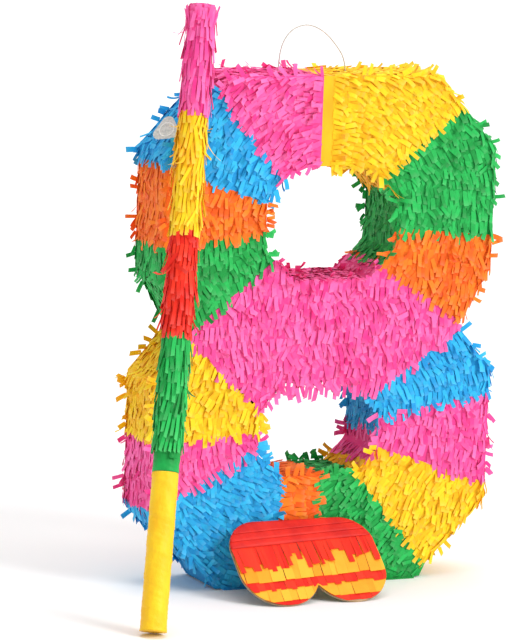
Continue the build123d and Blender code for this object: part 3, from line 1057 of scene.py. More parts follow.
    def _reach_on(self, paper: PaperMesh, block: Block, following: Block) -> None:
        """Carries a block's paper on over the next block's wall inside the hole.

        Args:
            paper: The block's mesh.
            block: The block.
            following: The block after it, whose wall it covers.
        """
        inner, outer = self._sides_of(following)
        rows = max(2, round(length_of(inner) * block.over / self.cut.row_pitch))
        turn = block.turn.value
        edges, outs = [], []
        for share in block.over * np.arange(rows + 1) / rows:
            start, end = along_path(inner, share), along_path(outer, share)
            corners, normals = self._row(start, end, following, self.root_height)
            front, back, out = corners[0], corners[3], normals[3]
            edges.append((front, back))
            outs.append(out)
            count = round(float(np.linalg.norm(front - back)) / self.cut.width)
            roots = back + (front - back) * ((np.arange(count) + 0.5)[:, None] / count)
            along = unit(end - start)
            flow = np.array([-along[1] * turn, -self.lean_forward, along[0] * turn])
            paper.strands(roots, flow, out, self.cut)
        # The paper on the wall takes the backing's dark tone: painted shade under the strands.
        for above, below, out in zip(edges, edges[1:], outs):
            paper.sheet(np.array([above, below]), out, self.wall_paper)

    def _backing(self, paper: PaperMesh, block: Block, inner: np.ndarray, outer: np.ndarray
                 ) -> None:
        """Adds the glued paper under a block's strands, in the backing's dark tone: painted shade
        under the strands.
        """
        shares = sorted({0.0, 1.0, *np.linspace(0, 1, 9).tolist(),
                         *corner_shares(inner), *corner_shares(outer)})
        faces = []
        for height in (self.backing_height, self.backing_inside):
            faces.append(np.array([
                self._row(along_path(inner, share), along_path(outer, share), block, height)[0]
                for share in shares]))
        paper.wrap(*faces)

    def _cut_opening(self, paper: PaperMesh, seed: int) -> PaperMesh:
        """Cuts the fill opening out of the backing paper.

        Args:
            paper: The backing on its own.
            seed: The seed of the new mesh's draws.

        Returns:
            A new paper mesh that holds the cut backing.
        """
        whole = paper.make("backing_whole", Papers.yellow.material(self.groups))
        low, high = self.opening
        box = bmesh.new()
        bmesh.ops.create_cube(box, size=1.0)
        for vertex in box.verts:
            vertex.co = Vector(((low + high) / 2 + np.array(vertex.co) * (high - low)).tolist())
        cutter_mesh = bpy.data.meshes.new("opening_cutter")
        box.to_mesh(cutter_mesh)
        box.free()
        cutter = bpy.data.objects.new("opening_cutter", cutter_mesh)
        bpy.context.scene.collection.objects.link(cutter)
        boolean = whole.modifiers.new("opening", "BOOLEAN")
        boolean.operation = "DIFFERENCE"
        boolean.solver = "EXACT"
        boolean.object = cutter
        graph = bpy.context.evaluated_depsgraph_get()
        cut_mesh = bpy.data.meshes.new_from_object(whole.evaluated_get(graph))
        made = PaperMesh(seed)
        form = bmesh.new()
        form.from_mesh(cut_mesh)
        made.solid(form)
        for thing in (whole, cutter):
            bpy.data.objects.remove(thing)
        return made

    def _clear_opening(self, roots: np.ndarray, kept: np.ndarray, lengths: np.ndarray
                       ) -> tuple[np.ndarray, np.ndarray]:
        """Leaves out the strands over the fill opening and trims those that would reach it.

        Args:
            roots: Where the strands start.
            kept: Which strands are kept so far.
            lengths: Their lengths.

        Returns:
            Which strands are kept now, and their lengths.
        """
        low, high = self.opening
        x, y, z = roots.T
        level = (y > 0.5 * self.half_depth) & (
            z > low[2] - self.clear_below) & (z < high[2] + self.clear_above)
        inside = level & (x > low[0] - self.clear_beside) & (x < high[0])
        ahead = low[0] + self.clear_ahead - x
        trimmed = np.minimum(lengths, np.maximum(ahead, self.shortest))
        return kept & ~inside, np.where(level & (ahead > 0), trimmed, lengths)

    def _middle(self, seed: int) -> bpy.types.Object:
        """Builds the pink block across the waist, with level rows that hang straight down.

        Args:
            seed: The seed of its draws.

        Returns:
            The block's piece.
        """
        loop = front_loops("fringe_pink_middle")[0]
        paper = PaperMesh(seed)
        depth = self.half_depth + self.root_height
        inset = self.skin - self.root_height
        levels = np.arange(
            loop[:, 1].max() - inset, loop[:, 1].min() + inset - 1 * MM, -self.cut.row_pitch)
        for level in levels:
            for left, right in self._spans(loop, level):
                count = int((right - left) / self.cut.width)
                if count < 1:
                    continue
                x = left + (np.arange(count) + 0.5) * (right - left) / count
                for side in (-1, 1):
                    roots = np.stack([x, np.full(count, side * depth), np.full(count, level)], 1)
                    roots += paper.rng.normal(0, self.level_scatter, roots.shape) * (1, 0, 1)
                    paper.strands(roots, (0.0, 0.0, -1.0), (0.0, side, 0.0), self.cut)
        for hole in self.holes:
            self._hole_wall(paper, loop, hole)
        self._middle_backing(paper, loop)
        return paper.make("strands_pink_middle", Papers.pink.material(self.groups))

    @staticmethod
    def _spans(loop: np.ndarray, level: float) -> list[tuple[float, float]]:
        """Where a level line runs inside a loop."""
        crossings = []
        for start, end in zip(loop, np.roll(loop, -1, axis=0)):
            if (start[1] - level) * (end[1] - level) < 0:
                share = (level - start[1]) / (end[1] - start[1])
                crossings.append(start[0] + share * (end[0] - start[0]))
        crossings.sort()
        return list(zip(crossings[::2], crossings[1::2]))

    def _wall_sides(self, loop: np.ndarray, hole: np.ndarray) -> list[int]:
        """Numbers of the waist's sides that lie on a hole's wall."""
        near = [distance_to(hole, point) <= self.wall_reach * self.skin for point in loop]
        return [side for side in range(len(loop)) if near[side] and near[side + 1 - len(loop)]]

    def _hole_wall(self, paper: PaperMesh, loop: np.ndarray, hole: np.ndarray) -> None:
        """Adds the waist's rows on the wall of one hole.

        They lie towards the front on the upper hole's floor, and to the back on the lower
        hole's ceiling. The floor also has rows that hang over its front and back edges.
        """
        centre = hole.mean(axis=0)
        floor_side = centre[1] > loop[:, 1].mean()
        flow = np.array([0.0, -1.0 if floor_side else 1.0, 0.0])
        for side in self._wall_sides(loop, hole):
            start, run = loop[side], loop[side + 1 - len(loop)] - loop[side]
            normal = square_to(run, centre - start)
            count = max(1, round(float(np.linalg.norm(run)) / self.cut.width))
            places = start + run * ((np.arange(count) + 0.5) / count)[:, None]
            places = places - normal * (self.skin - self.root_height)
            rows = round(2 * self.half_depth / self.cut.row_pitch)
            edge_row = -flow[1] * (self.half_depth + self.root_height)
            for y in (*self.half_depth * (2 * (np.arange(rows) + 0.5) / rows - 1), edge_row):
                roots = np.stack([places[:, 0], np.full(count, y), places[:, 1]], axis=1)
                roots = roots + paper.rng.normal(0, self.level_scatter, roots.shape) * (0, 1, 0)
                paper.strands(roots, flow, (normal[0], 0.0, normal[1]), self.cut)
            for face in (-1, 1) if floor_side else ():
                roots = np.stack([
                    places[:, 0], np.full(count, face * (self.half_depth + self.root_height)),
                    places[:, 1]], axis=1)
                paper.strands(roots, (0.0, 0.0, -1.0), (0.0, face, 0.0), self.cut)

    def _middle_backing(self, paper: PaperMesh, loop: np.ndarray) -> None:
        """Adds the glued paper under the waist's strands, front, back and on the hole walls, in
        the backing's dark tone: painted shade under the strands.
        """
        inset = self.skin - self.backing_height
        ring = np.array([self._towards_card(point, inset) for point in loop])
        depth = self.half_depth + self.backing_height
        inside = self.half_depth + self.backing_inside
        for side in (-1, 1):
            form = bmesh.new()
            verts = [form.verts.new((x, side * depth, z)) for x, z in ring]
            face = form.faces.new(verts)
            low = bmesh.ops.extrude_face_region(form, geom=[face])
            for vertex in low["geom"]:
                if isinstance(vertex, bmesh.types.BMVert):
                    vertex.co.y = side * inside
            paper.solid(form)
        for hole in self.holes:
            for side in self._wall_sides(loop, hole):
                start, end = ring[side], ring[side + 1 - len(ring)]
                normal = square_to(end - start, hole.mean(axis=0) - start)
                corners = np.array([[(x, y, z) for y in (-depth, depth)] for x, z in (start, end)])
                out = np.array([normal[0], 0, normal[1]])
                paper.sheet(corners, out, self.backing_height - self.backing_inside)

    def _towards_card(self, point: np.ndarray, inset: float) -> np.ndarray:
        """Moves a corner of the fringe's face to the card's nearest edge, less the backing."""
        edges = [nearest_on(ring, point)[0] for ring in (self.outline, *self.holes)]
        edge = min(edges, key=lambda place: np.linalg.norm(place - point))
        gap = edge - point
        return point + unit(gap) * min(inset, float(np.linalg.norm(gap)))


# ---------------------------------------------------------------- fill flap
@dataclass
class FillFlap:
    """The flap in the back of the top limb: its own fringe, and the paper over its fold."""

    groups: ShaderGroups
    cut: StrandCut = StrandCut(tip_lift=(-12.0, 8.0), wild_share=0.04)
    lengths: tuple[float, float] = (0.7, 1.15)
    shortest: float = 6.0 * MM
    past_edge: float = 4.0 * MM
    droop: float = 0.15
    root_height: float = 1.2 * MM
    backing: float = 0.8 * MM
    edge: float = 2.0 * MM
    cover: float = 0.4 * MM
    # The fold cover strip takes a dark tone: painted shade between the strands over it.
    cover_painted_shade: float = 0.3
    fold_above: float = 12.0 * MM
    fold_below: float = 8.0 * MM
    seed: int = 140

    def build(self) -> None:
        """Builds the flap's fringe and the cover of its fold."""
        self._fringe()
        self._fold_cover()

    def _fringe(self) -> None:
        """Rows of strands on the flap, lying away from the top seam as on the limb round it."""
        low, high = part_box("fill_flap_fringe")
        paper = PaperMesh(self.seed)
        face = low.y + self.root_height
        # The backing sheet takes the backing's dark tone: painted shade under the strands.
        paper.sheet(
            np.array([[(x, face, z) for z in (low.z, high.z)] for x in (high.x, low.x)]),
            np.array([0.0, 1.0, 0.0]), self.backing)
        rows = math.floor((high.x - low.x - 2 * self.edge) / self.cut.row_pitch)
        count = round((high.z - low.z) / self.cut.width)
        z = low.z + (np.arange(count) + 0.5) / count * (high.z - low.z)
        for row in range(rows):
            x = low.x + self.edge + row * self.cut.row_pitch
            roots = np.stack([np.full(count, x), np.full(count, face), z], axis=1)
            reach = high.x + self.past_edge - x
            lengths = np.minimum(
                self.cut.length * paper.rng.uniform(*self.lengths, count),
                max(reach, self.shortest))
            paper.strands(roots, (1.0, 0.0, -self.droop), (0.0, 1.0, 0.0), self.cut, lengths)
        piece = paper.make("strands_fill_flap", Papers.yellow.material(self.groups))
        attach(piece, "fill_flap")
        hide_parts("fill_flap_fringe")
        log.info("%s: %d faces", piece.name, len(piece.data.polygons))

    def _fold_cover(self) -> None:
        """A strip of paper and two rows of strands across the fold."""
        low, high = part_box("fill_flap")
        paper = PaperMesh(self.seed + 1)
        face = high.y + self.root_height
        levels = np.linspace(high.z + self.fold_above, high.z - self.fold_below, 9)
        # The strip takes a dark tone: painted shade between the strands over it.
        paper.sheet(
            np.array([[(x, face, z) for x in (low.x, high.x)] for z in levels]),
            np.array([0.0, 1.0, 0.0]), self.cover, self.cover_painted_shade)
        count = round((high.x - low.x) / self.cut.width)
        x = low.x + (np.arange(count) + 0.5) / count * (high.x - low.x)
        for level in (levels[0], levels[3]):
            roots = np.stack(
                [x, np.full(count, face + 0.3 * MM), np.full(count, level)], axis=1)
            paper.strands(roots, (0.0, 0.0, -1.0), (0.0, 1.0, 0.0), self.cut)
        piece = paper.make("fold_cover", Papers.yellow.material(self.groups))
        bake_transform(piece)
        log.info("%s: %d faces", piece.name, len(piece.data.polygons))


# ---------------------------------------------------------------- hanging loop
@dataclass
class HangingLoop:
    """Clear line knotted under a card pad; it stands up over the top by its own stiffness."""

    groups: ShaderGroups
    diameter: float = 1.2 * MM
    length: float = 153.7 * MM
    route: tuple[tuple[float, float, float], ...] = (
        (-0.051, 0, 0.5332), (-0.051, 0, 0.5522), (-0.047, 0, 0.5722), (-0.036, 0, 0.5862),
        (-0.018, 0, 0.5912), (0, 0, 0.5837), (0.014, 0, 0.5702), (0.027, 0, 0.5522),
        (0.027, 0, 0.5332))

    def build(self) -> None:
        curve = bpy.data.curves.new("loop_line", "CURVE")
        curve.dimensions = "3D"
        curve.bevel_depth = self.diameter / 2
        curve.bevel_resolution = 4
        curve.resolution_u = 16
        curve.use_fill_caps = True
        spline = curve.splines.new("NURBS")
        spline.points.add(len(self.route) - 1)
        for point, place in zip(spline.points, self.route):
            point.co = (*place, 1.0)
        spline.order_u = 3
        spline.use_endpoint_u = True
        curve.materials.append(Papers.line.material(self.groups))
        line = bpy.data.objects.new("loop_line", curve)
        bpy.context.scene.collection.objects.link(line)
        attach(line, "pinata")
        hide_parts("hanging_loop")
        log.info("%s: %.1f mm of line", line.name, self.length / MM)


# ---------------------------------------------------------------- stick
@dataclass(frozen=True)
class Sleeve:
    """One length of paper round the stick.

    `foot` marks the wrap that closes over the stick's lower end, `tab` the one with a loose
    tab near its top, and `open_top` the fringe that stands past the stick's upper end.
    """

    node: str
    finish: Finish
    foot: bool = False
    tab: bool = False
    open_top: bool = False


@dataclass
class PartyStick:
    """The leaning stick: a wrapped handle and four sleeves of long fringe on a dowel."""

    groups: ShaderGroups
    cut: StrandCut = StrandCut(
        width=4.2 * MM, gap=0.4 * MM, length=25.0 * MM, row_pitch=11.0 * MM,
        lengths=(0.55, 1.2), root_lift=(4.0, 16.0), tip_lift=(-14.0, 14.0), wild_share=0.03,
        wild_lift=(35.0, 110.0), sway=7.0, stray_share=0.05, stray=28.0, twist=9.0, segments=6)
    top_cut: StrandCut = StrandCut(
        width=5.0 * MM, gap=0.2 * MM, root_lift=(2.0, 16.0), tip_lift=(-4.0, 20.0),
        wild_share=0.0, sway=7.0, stray_share=0.0, twist=6.0, segments=5)
    tab_cut: StrandCut = StrandCut(
        width=8.0 * MM, length=14.0 * MM, root_lift=(8.0, 20.0), tip_lift=(0.0, 12.0),
        wild_share=0.0, stray_share=0.0)
    around: int = 72
    root_height: float = 1.5 * MM
    root_scatter: float = 1.6 * MM
    backing: tuple[float, float] = (0.1 * MM, 1.1 * MM)
    top_gap: float = 1.5 * MM
    last_row: float = 10.0 * MM
    past_end: float = 7.0 * MM
    shortest: float = 6.0 * MM
    top_rows: tuple[float, ...] = (22 * MM, 16 * MM, 10 * MM)
    top_ends: tuple[float, float] = (-9.0 * MM, 0.5 * MM)
    crease: float = 0.4 * MM
    crease_run: float = 7.0 * MM
    waves: int = 6
    overlap: float = 0.5 * MM
    wrap_pitch: float = 34.0 * MM
    wrap_step: float = 1.6 * MM
    wrap_tone: float = 0.6
    foot_shares: tuple[float, ...] = (0.985, 0.93, 0.6, 0.02)
    foot_paper: float = 0.9 * MM
    tab_below: float = 3.0 * MM
    seed: int = 170

    def __post_init__(self) -> None:
        """Reads the dowel's line and radius from the frame."""
        points = vertices_of("stick_dowel")
        self.middle = points.mean(axis=0)
        spread = (points - self.middle).T @ (points - self.middle)
        axis = np.linalg.eigh(spread)[1][:, -1]
        self.axis = axis if axis[2] > 0 else -axis
        self.side = unit(np.cross(self.axis, (0.0, 1.0, 0.0)))
        self.face = np.cross(self.axis, self.side)
        self.dowel_radius = self._reach("stick_dowel")[2]

    def _reach(self, node: str) -> tuple[float, float, float]:
        """How far a node runs along the stick, and its radius."""
        points = vertices_of(node) - self.middle
        along = points @ self.axis
        radius = np.linalg.norm(points - along[:, None] * self.axis, axis=1).max()
        return float(along.min()), float(along.max()), float(radius)

    def _round(self, angles: np.ndarray) -> np.ndarray:
        """Directions straight out of the stick at some angles."""
        return np.cos(angles)[:, None] * self.side + np.sin(angles)[:, None] * self.face

    def _ring(self, along: float, radii: np.ndarray) -> np.ndarray:
        """Points round the stick at one place along it."""
        angles = np.arange(self.around) * 2 * np.pi / self.around
        return self.middle + self.axis * along + self._round(angles) * radii[:, None]

    def build(self) -> None:
        """Builds the handle, the band and the sleeves."""
        for number, sleeve in enumerate((
            Sleeve("stick_handle_wrap", Papers.handle_yellow, foot=True),
            Sleeve("stick_green_band", Papers.band_green, tab=True),
        )):
            self._wrapped(sleeve, number)
        for number, sleeve in enumerate((
            Sleeve("stick_green_fringe", Papers.green),
            Sleeve("stick_red_fringe", Papers.red),
            Sleeve("stick_yellow_fringe", Papers.yellow),
            Sleeve("stick_pink_fringe", Papers.pink, open_top=True),
        )):
            self._fringed(sleeve, self.seed + number)

    def _finish(self, piece: bpy.types.Object, sleeve: Sleeve) -> None:
        """Puts a piece on the stick in place of its CAD node."""
        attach(piece, "stick")
        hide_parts(sleeve.node)
        log.info("%s: %d faces", piece.name, len(piece.data.polygons))

    def _wrapped(self, sleeve: Sleeve, number: int) -> None:
        """Smooth paper wound round the stick, with its spiral edge and its creases.

        Args:
            sleeve: The CAD sleeve and its finish.
            number: Its number, for the seed of its draws.
        """
        low, high, radius = self._reach(sleeve.node)
        paper = PaperMesh(self.seed + 20 + number)
        angles = np.arange(self.around) * 2 * np.pi / self.around
        phases = paper.rng.uniform(0, 2 * np.pi, self.waves)
        outer, inner = [], []
        for along in np.arange(high, low + 0.1 * MM, -self.wrap_step):
            turn = angles + along / self.wrap_pitch * 2 * np.pi
            edge = self.overlap * (1 - (turn / (2 * np.pi)) % 1) ** 3
            creases = sum(
                np.sin((k + 2) * turn + along / self.crease_run * (0.6 + 0.23 * k) + phases[k])
                for k in range(self.waves)) / self.waves
            radii = radius - self.overlap - self.crease + edge + self.crease * creases
            outer.append(self._ring(along, radii))
            inner.append(self._ring(along, np.full(self.around, self.dowel_radius + 0.05 * MM)))
        if sleeve.foot:
            inside = low + self.foot_paper
            for share in self.foot_shares:
                radii = np.full(self.around, radius * share)
                outer.append(self._ring(low + 0.05 * MM * share, radii))
                inner.append(self._ring(inside, radii * self.dowel_radius / radius))
        paper.wrap(np.array(outer), np.array(inner), self.wrap_tone)
        if sleeve.tab:
            front = -unit(self.side * self.side[1] + self.face * self.face[1])
            root = self.middle + self.axis * (high - self.tab_below) + front * (radius - 0.3 * MM)
            paper.strands(root[None], -self.axis, front, self.tab_cut)
        piece = paper.make(
            sleeve.node.replace("stick_", "paper_"), sleeve.finish.material(self.groups), True)
        self._finish(piece, sleeve)

    def _fringed(self, sleeve: Sleeve, seed: int) -> None:
        """A sleeve of fringe: rows of long strands that hang down the stick.

        Args:
            sleeve: The CAD sleeve and its finish.
            seed: The seed of its draws.
        """
        low, high, _ = self._reach(sleeve.node)
        paper = PaperMesh(seed)
        radii = np.full(self.around, self.dowel_radius)
        inner, outer = (
            np.array([self._ring(at, radii + height) for at in (high, (low + high) / 2, low)])
            for height in self.backing)
        # The backing wrap takes the backing's dark tone: painted shade under the strands.
        paper.wrap(outer, inner)
        count = round(2 * np.pi * (self.dowel_radius + self.root_height) / self.cut.width)
        rows = math.ceil((high - low - 8 * MM) / self.cut.row_pitch)
        pitch = (high - low - self.last_row) / (rows - 1)
        for row in range(rows):
            self._row(paper, high - self.top_gap - row * pitch, count, low, -1.0)
        if sleeve.open_top:
            for below in self.top_rows:
                self._row(paper, high - below, count, high, 1.0)
        piece = paper.make(
            sleeve.node.replace("stick_", "strands_stick_"), sleeve.finish.material(self.groups))
        self._finish(piece, sleeve)

    def _row(self, paper: PaperMesh, along: float, count: int, end: float, way: float) -> None:
        """One row of strands round the stick.

        Args:
            paper: The mesh it goes in.
            along: Where the row is glued.
            count: How many strands it has.
            end: The sleeve's end that the strands lie towards.
            way: -1 for strands that hang down, 1 for those of the open top.
        """
        angles = paper.rng.uniform(0, 2 * np.pi) + np.arange(count) * 2 * np.pi / count
        outs = self._round(angles)
        places = along + paper.rng.normal(0, self.root_scatter, count)
        roots = self.middle + self.axis * places[:, None] + outs * (
            self.dowel_radius + self.root_height)
        lengths = self.cut.length * paper.rng.uniform(*self.cut.lengths, count)
        if way < 0:
            room = np.maximum(places - end + self.past_end, self.shortest)
            lengths = np.minimum(lengths, room)
        else:
            lengths = end - places + paper.rng.uniform(*self.top_ends, count)
        cut = self.cut if way < 0 else self.top_cut
        paper.strands(roots, self.axis * way, outs, cut, lengths)


# ---------------------------------------------------------------- blindfold
@dataclass(frozen=True)
class MaskRow:
    """One row of paper on the blindfold, with its slits and ragged lower edge.

    `tuck` is how far it goes up under the next row, `tab` the width between its slits, and
    `bays` whether its lower edge is cut away in the deep bays over the nose and the lobes.
    """

    node: str
    finish: Finish
    tuck: float
    tab: float
    ragged: float
    slant: float
    lift: tuple[float, float] = (0.3 * MM, 1.4 * MM)
    bays: bool = False


@dataclass
class Blindfold:
    """Two round lobes of card under rows of red and amber paper."""

    groups: ShaderGroups
    slope: float = 0.052
    layer: float = 0.25 * MM
    layer_growth: float = 1.6
    sheet_thickness: float = 0.2 * MM
    slit: float = 0.14 * MM
    tab_spread: tuple[float, float] = (0.6, 1.4)
    slant_spread: float = 0.015
    margin: float = 8.0 * MM
    column: float = 1.6 * MM
    levels: int = 160
    bends: int = 7
    band_steps: tuple[float, ...] = (0.0, 0.3, 0.62)
    band_edge: float = 0.4 * MM
    band_lift: float = 0.8 * MM
    band_tone: float = 0.5
    bays: tuple[tuple[float, float, float], ...] = (
        (-0.012, 0.008, 0.45), (0.033, 0.008, 0.55), (0.062, 0.014, 0.2))
    seed: int = 210

    def __post_init__(self) -> None:
        """Reads the card's plane and outline from the frame."""
        self.normal = widest_normal("mask_card")
        self.right = np.array([1.0, 0.0, 0.0])
        self.up = np.cross(self.normal, self.right)
        points = vertices_of("mask_card")
        self.face = float((points @ self.normal).max())
        self.outline = front_loops("mask_card", self.normal, self.up)[0]
        self.half_width = float(np.ptp(self.outline[:, 0])) / 2
        self.centre = float(self.outline[:, 0].min()) + self.half_width

    def _inside(self, places: np.ndarray) -> np.ndarray:
        """Whether (right, up) places lie inside the card's outline."""
        start, end = self.outline, np.roll(self.outline, -1, axis=0)
        across, level = places[:, :1], places[:, 1:]
        rise = end[:, 1] - start[:, 1]
        share = (level - start[:, 1]) / np.where(rise == 0, 1.0, rise)
        crossing = start[:, 0] + share * (end[:, 0] - start[:, 0])
        passed = ((start[:, 1] > level) != (end[:, 1] > level)) & (across < crossing)
        return passed.sum(axis=1) % 2 == 1

    def _row_levels(self, node: str) -> tuple[float, float]:
        """Lower and upper level of a CAD row."""
        levels = vertices_of(node) @ self.up
        return float(levels.min()), float(levels.max())

    def _tab(self, paper: PaperMesh, left: float, right: float, top: float, low: float,
             slant: float, height: float, lift: float, tone: float) -> None:
        """Adds one tab of paper, cut off at the card's outline.

        Args:
            paper: The mesh it goes in.
            left: Its left edge at its top.
            right: Its right edge at its top.
            top: Level of its top.
            low: Level of its tip.
            slant: How far it leans to the right for its length.
            height: Its height over the card at its top.
            lift: How much higher its tip stands.
            tone: Its painted shade.
        """
        columns = []
        share = np.linspace(0, 1, self.bends)
        depth = self.face + height + lift * (share ** 2 + 0.3 * np.sin(share * np.pi))
        for start in np.linspace(left, right, 3 + round((right - left) / self.column)):
            levels = np.linspace(top, low, self.levels) + self.slope * (start - self.centre)
            line = np.stack([start + (levels[0] - levels) * slant, levels], axis=1)
            inside = self._inside(line)
            first = int(np.argmax(inside))
            after = int(np.argmin(np.append(inside[first:], False)))
            if after > 3:
                line = line[np.rint(first + share * (after - 1)).astype(int)]
                columns.append(
                    line[:, :1] * self.right + line[:, 1:] * self.up
                    + depth[:, None] * self.normal)
        if len(columns) > 1:
            paper.sheet(np.array(columns), self.normal, self.sheet_thickness, tone)

    def build(self) -> None:
        """Builds the rows from the lowest up, each over the one below it."""
        rows = (
            MaskRow("mask_red_bottom", Papers.red, 5 * MM, 9.0 * MM, 0.2 * MM, 0.0),
            MaskRow("mask_yellow_lower", Papers.amber, 6 * MM, 13.0 * MM, 0.7 * MM, -0.05),
            MaskRow("mask_red_middle", Papers.red, 6 * MM, 7.0 * MM, 1.3 * MM, 0.02),
            MaskRow("mask_yellow_upper", Papers.amber, 20 * MM, 11.0 * MM, 0.7 * MM, -0.08),
            MaskRow("mask_red_fringe", Papers.red, 6 * MM, 4.4 * MM, 2.4 * MM, 0.02,
                    (0.4 * MM, 3.2 * MM), bays=True),
        )
        for number, row in enumerate(rows):
            self._tabs(row, number)
        self._bands(len(rows))

    def _finish(self, piece: bpy.types.Object, node: str, finish: Finish) -> None:
        """Puts a row on the blindfold in place of its CAD node."""
        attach(piece, "blindfold")
        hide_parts(node)
        log.info("%s: %d faces", piece.name, len(piece.data.polygons))

    def _height(self, layers: int) -> float:
        """Height of a row's paper over the card, with some layers under it."""
        return self.layer * (1 + self.layer_growth * layers)

    def _tabs(self, row: MaskRow, number: int) -> None:
        """Builds one row of tabs.

        Args:
            row: The row.
            number: How many rows lie under it.
        """
        low, high = self._row_levels(row.node)
        paper = PaperMesh(self.seed + number)
        right = self.centre - self.half_width - row.slant * (high - low) - self.margin
        while right < self.centre + self.half_width:
            left = right + self.slit
            right = left + row.tab * paper.rng.uniform(*self.tab_spread)
            tip = low + paper.rng.normal(0, row.ragged)
            for place, reach, share in self.bays if row.bays else ():
                if abs((left + right) / 2 - self.centre - place) < reach:
                    tip += (high - low) * share
            slant = row.slant + paper.rng.normal(0, self.slant_spread)
            self._tab(
                paper, left, right, high + row.tuck, tip, slant, self._height(number),
                paper.rng.uniform(*row.lift), paper.rng.random())
        piece = paper.make(row.node.replace("mask_", "tabs_"), row.finish.material(self.groups))
        self._finish(piece, row.node, row.finish)

    def _bands(self, number: int) -> None:
        """Builds the plain overlapping bands at the top.

        Args:
            number: How many rows lie under them.
        """
        low, high = self._row_levels("mask_red_top")
        paper = PaperMesh(self.seed + number)
        edge = self.half_width - self.band_edge
        for order, step in enumerate(self.band_steps):
            self._tab(
                paper, self.centre - edge, self.centre + edge, high + self.margin,
                low + (high - low) * step, 0.0, self._height(number + order), self.band_lift,
                self.band_tone)
        piece = paper.make("bands_red_top", Papers.band_red.material(self.groups), True)
        self._finish(piece, "mask_red_top", Papers.band_red)


# ---------------------------------------------------------------- tag
@dataclass
class BlankTag:
    """The ring on the blank three-cornered tag."""

    groups: ShaderGroups
    outer: float = 8.6 * MM
    inner: float = 7.3 * MM
    proud: float = 0.25 * MM
    sunk: float = 0.1 * MM
    tone: float = 0.5
    around: int = 64
    seed: int = 240

    def build(self) -> None:
        """Makes a thin raised ring of foil on the tag's face."""
        normal = widest_normal("tag")
        points = vertices_of("tag")
        centre = (points.max(axis=0) + points.min(axis=0)) / 2
        centre = centre + normal * ((points @ normal).max() - centre @ normal)
        side = unit(np.cross(normal, (0.0, 0.0, 1.0)))
        rise = np.cross(side, normal)
        angles = np.arange(self.around) * 2 * np.pi / self.around
        spokes = np.cos(angles)[:, None] * side + np.sin(angles)[:, None] * rise
        top, bottom = [], []
        for radius in (self.inner, self.outer):
            top.append(centre + spokes * radius + normal * self.proud)
            bottom.append(centre + spokes * radius - normal * self.sunk)
        paper = PaperMesh(self.seed)
        paper.wrap(np.array(top), np.array(bottom), self.tone)
        ring = paper.make("tag_ring", Papers.tag_ring.material(self.groups))
        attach(ring, "pinata")
        log.info("%s: %d faces", ring.name, len(ring.data.polygons))


# ---------------------------------------------------------------- pieces kept from the frame
def dress(node: str, finish: Finish, groups: ShaderGroups) -> None:
    """Gives a CAD node its finish.

    Args:
        node: The CAD node's name.
        finish: The finish.
        groups: The shared shader groups.
    """
    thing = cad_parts[node]
    thing.data.materials.clear()
    thing.data.materials.append(finish.material(groups))
    log.info("%s dressed in %s", node, finish.name)


KEPT = {
    Papers.board: (
        "front_panel", "back_panel", "top_wall", "upper_left_wall", "upper_right_wall",
        "lower_left_wall", "lower_right_wall", "base_wall", "upper_hole_wall",
        "lower_hole_wall", "fill_flap", "hanger_pad"),
    Papers.line: ("hanger_knots",),
    Papers.plain_yellow: ("plain_yellow_strip",),
    Papers.blue: ("base_fringe_blue",),
    Papers.orange: ("base_fringe_orange",),
    Papers.green: ("base_fringe_green",),
    Papers.wood: ("stick_dowel",),
    Papers.mask_board: ("mask_card",),
    Papers.webbing: ("mask_strap",),
    Papers.wire: ("mask_staples",),
    Papers.tag: ("tag",),
}


# ---------------------------------------------------------------- camera and studio
@dataclass
class Viewpoint:
    """The camera: far off, a little to the left and above, and tipped slightly."""

    yaw: float = 24.5
    pitch: float = 9.0
    roll: float = 2.1
    distance: float = 4.2
    aim: tuple[float, float, float] = (-0.068, 0.0, 0.279)
    lens: float = 224.6

    def build(self) -> bpy.types.Object:
        """Makes the camera and sets it as the scene's.

        Returns:
            The camera.
        """
        turn, rise, tip = (math.radians(a) for a in (-self.yaw, self.pitch, self.roll))
        back = Vector((
            math.sin(turn) * math.cos(rise), -math.cos(turn) * math.cos(rise), math.sin(rise)))
        right = (-back).cross(Vector((0, 0, 1))).normalized()
        up = right.cross(-back)
        tipped_right = right * math.cos(tip) + up * math.sin(tip)
        tipped_up = up * math.cos(tip) - right * math.sin(tip)
        data = bpy.data.cameras.new("camera")
        data.lens = self.lens
        data.clip_end = 200.0
        camera = bpy.data.objects.new("camera", data)
        bpy.context.scene.collection.objects.link(camera)
        place = Matrix((tipped_right, tipped_up, back)).transposed().to_4x4()
        place.translation = Vector(self.aim) + back * self.distance
        camera.matrix_world = place
        bpy.context.scene.camera = camera
        return camera


@dataclass(frozen=True)
class Lamp:
    """A broad distant light: a point on its line, how wide it looks in degrees, its power."""

    name: str
    place: tuple[float, float, float]
    spread: float
    power: float


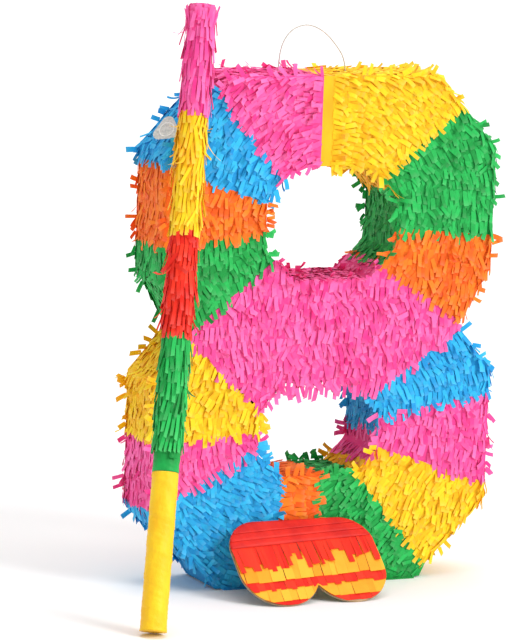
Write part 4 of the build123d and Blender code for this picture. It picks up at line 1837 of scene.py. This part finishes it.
@dataclass
class Studio:
    """Plain pale floor and soft lights."""

    ambient: float = 0.5
    floor_size: float = 60.0
    floor_shade: float = 0.95
    middle: tuple[float, float, float] = (0.0, 0.0, 0.27)
    lamps: tuple[Lamp, ...] = (
        Lamp("key", (1.9, -2.6, 2.2), 24.0, 1.9),
        Lamp("fill", (-2.4, -2.4, 1.4), 60.0, 0.12),
        Lamp("top", (0.2, 0.3, 3.0), 60.0, 1.6),
    )

    def build(self) -> None:
        """Makes the floor, the sky and the lamps."""
        self._floor()
        world = bpy.data.worlds.new("studio")
        world.use_nodes = True
        sky = world.node_tree.nodes["Background"]
        sky.inputs["Color"].default_value = (1.0, 1.0, 1.0, 1.0)
        sky.inputs["Strength"].default_value = self.ambient
        bpy.context.scene.world = world
        bpy.context.scene.view_settings.view_transform = "Standard"
        for lamp in self.lamps:
            self._hang(lamp)

    def _floor(self) -> None:
        """Makes the floor."""
        half = self.floor_size / 2
        mesh = bpy.data.meshes.new("floor")
        mesh.from_pydata(
            [(-half, -half, 0), (half, -half, 0), (half, half, 0), (-half, half, 0)], [],
            [(0, 1, 2, 3)])
        floor = bpy.data.objects.new("floor", mesh)
        bpy.context.scene.collection.objects.link(floor)
        material = bpy.data.materials.new("pale_floor")
        material.use_nodes = True
        shader = material.node_tree.nodes["Principled BSDF"]
        shader.inputs["Base Color"].default_value = (*(self.floor_shade,) * 3, 1.0)
        shader.inputs["Roughness"].default_value = 0.9
        shader.inputs["Specular IOR Level"].default_value = 0.1
        mesh.materials.append(material)

    def _hang(self, lamp: Lamp) -> None:
        """Adds a lamp that faces the pinata's middle."""
        data = bpy.data.lights.new(lamp.name, "SUN")
        data.angle = math.radians(lamp.spread)
        data.energy = lamp.power
        made = bpy.data.objects.new(lamp.name, data)
        made.location = lamp.place
        towards = Vector(self.middle) - Vector(lamp.place)
        made.rotation_euler = towards.to_track_quat("-Z", "Y").to_euler()
        bpy.context.scene.collection.objects.link(made)


def main() -> None:
    """Builds the set in order."""
    logging.basicConfig(level=logging.INFO, format="%(name)s: %(message)s")
    groups = ShaderGroups()
    Viewpoint().build()
    HangingLoop(groups).build()
    FringedEight(groups).build()
    FillFlap(groups).build()
    PartyStick(groups).build()
    Blindfold(groups).build()
    BlankTag(groups).build()
    for finish, nodes in KEPT.items():
        for node in nodes:
            dress(node, finish, groups)
    Studio().build()


if __name__ == "__main__":
    main()
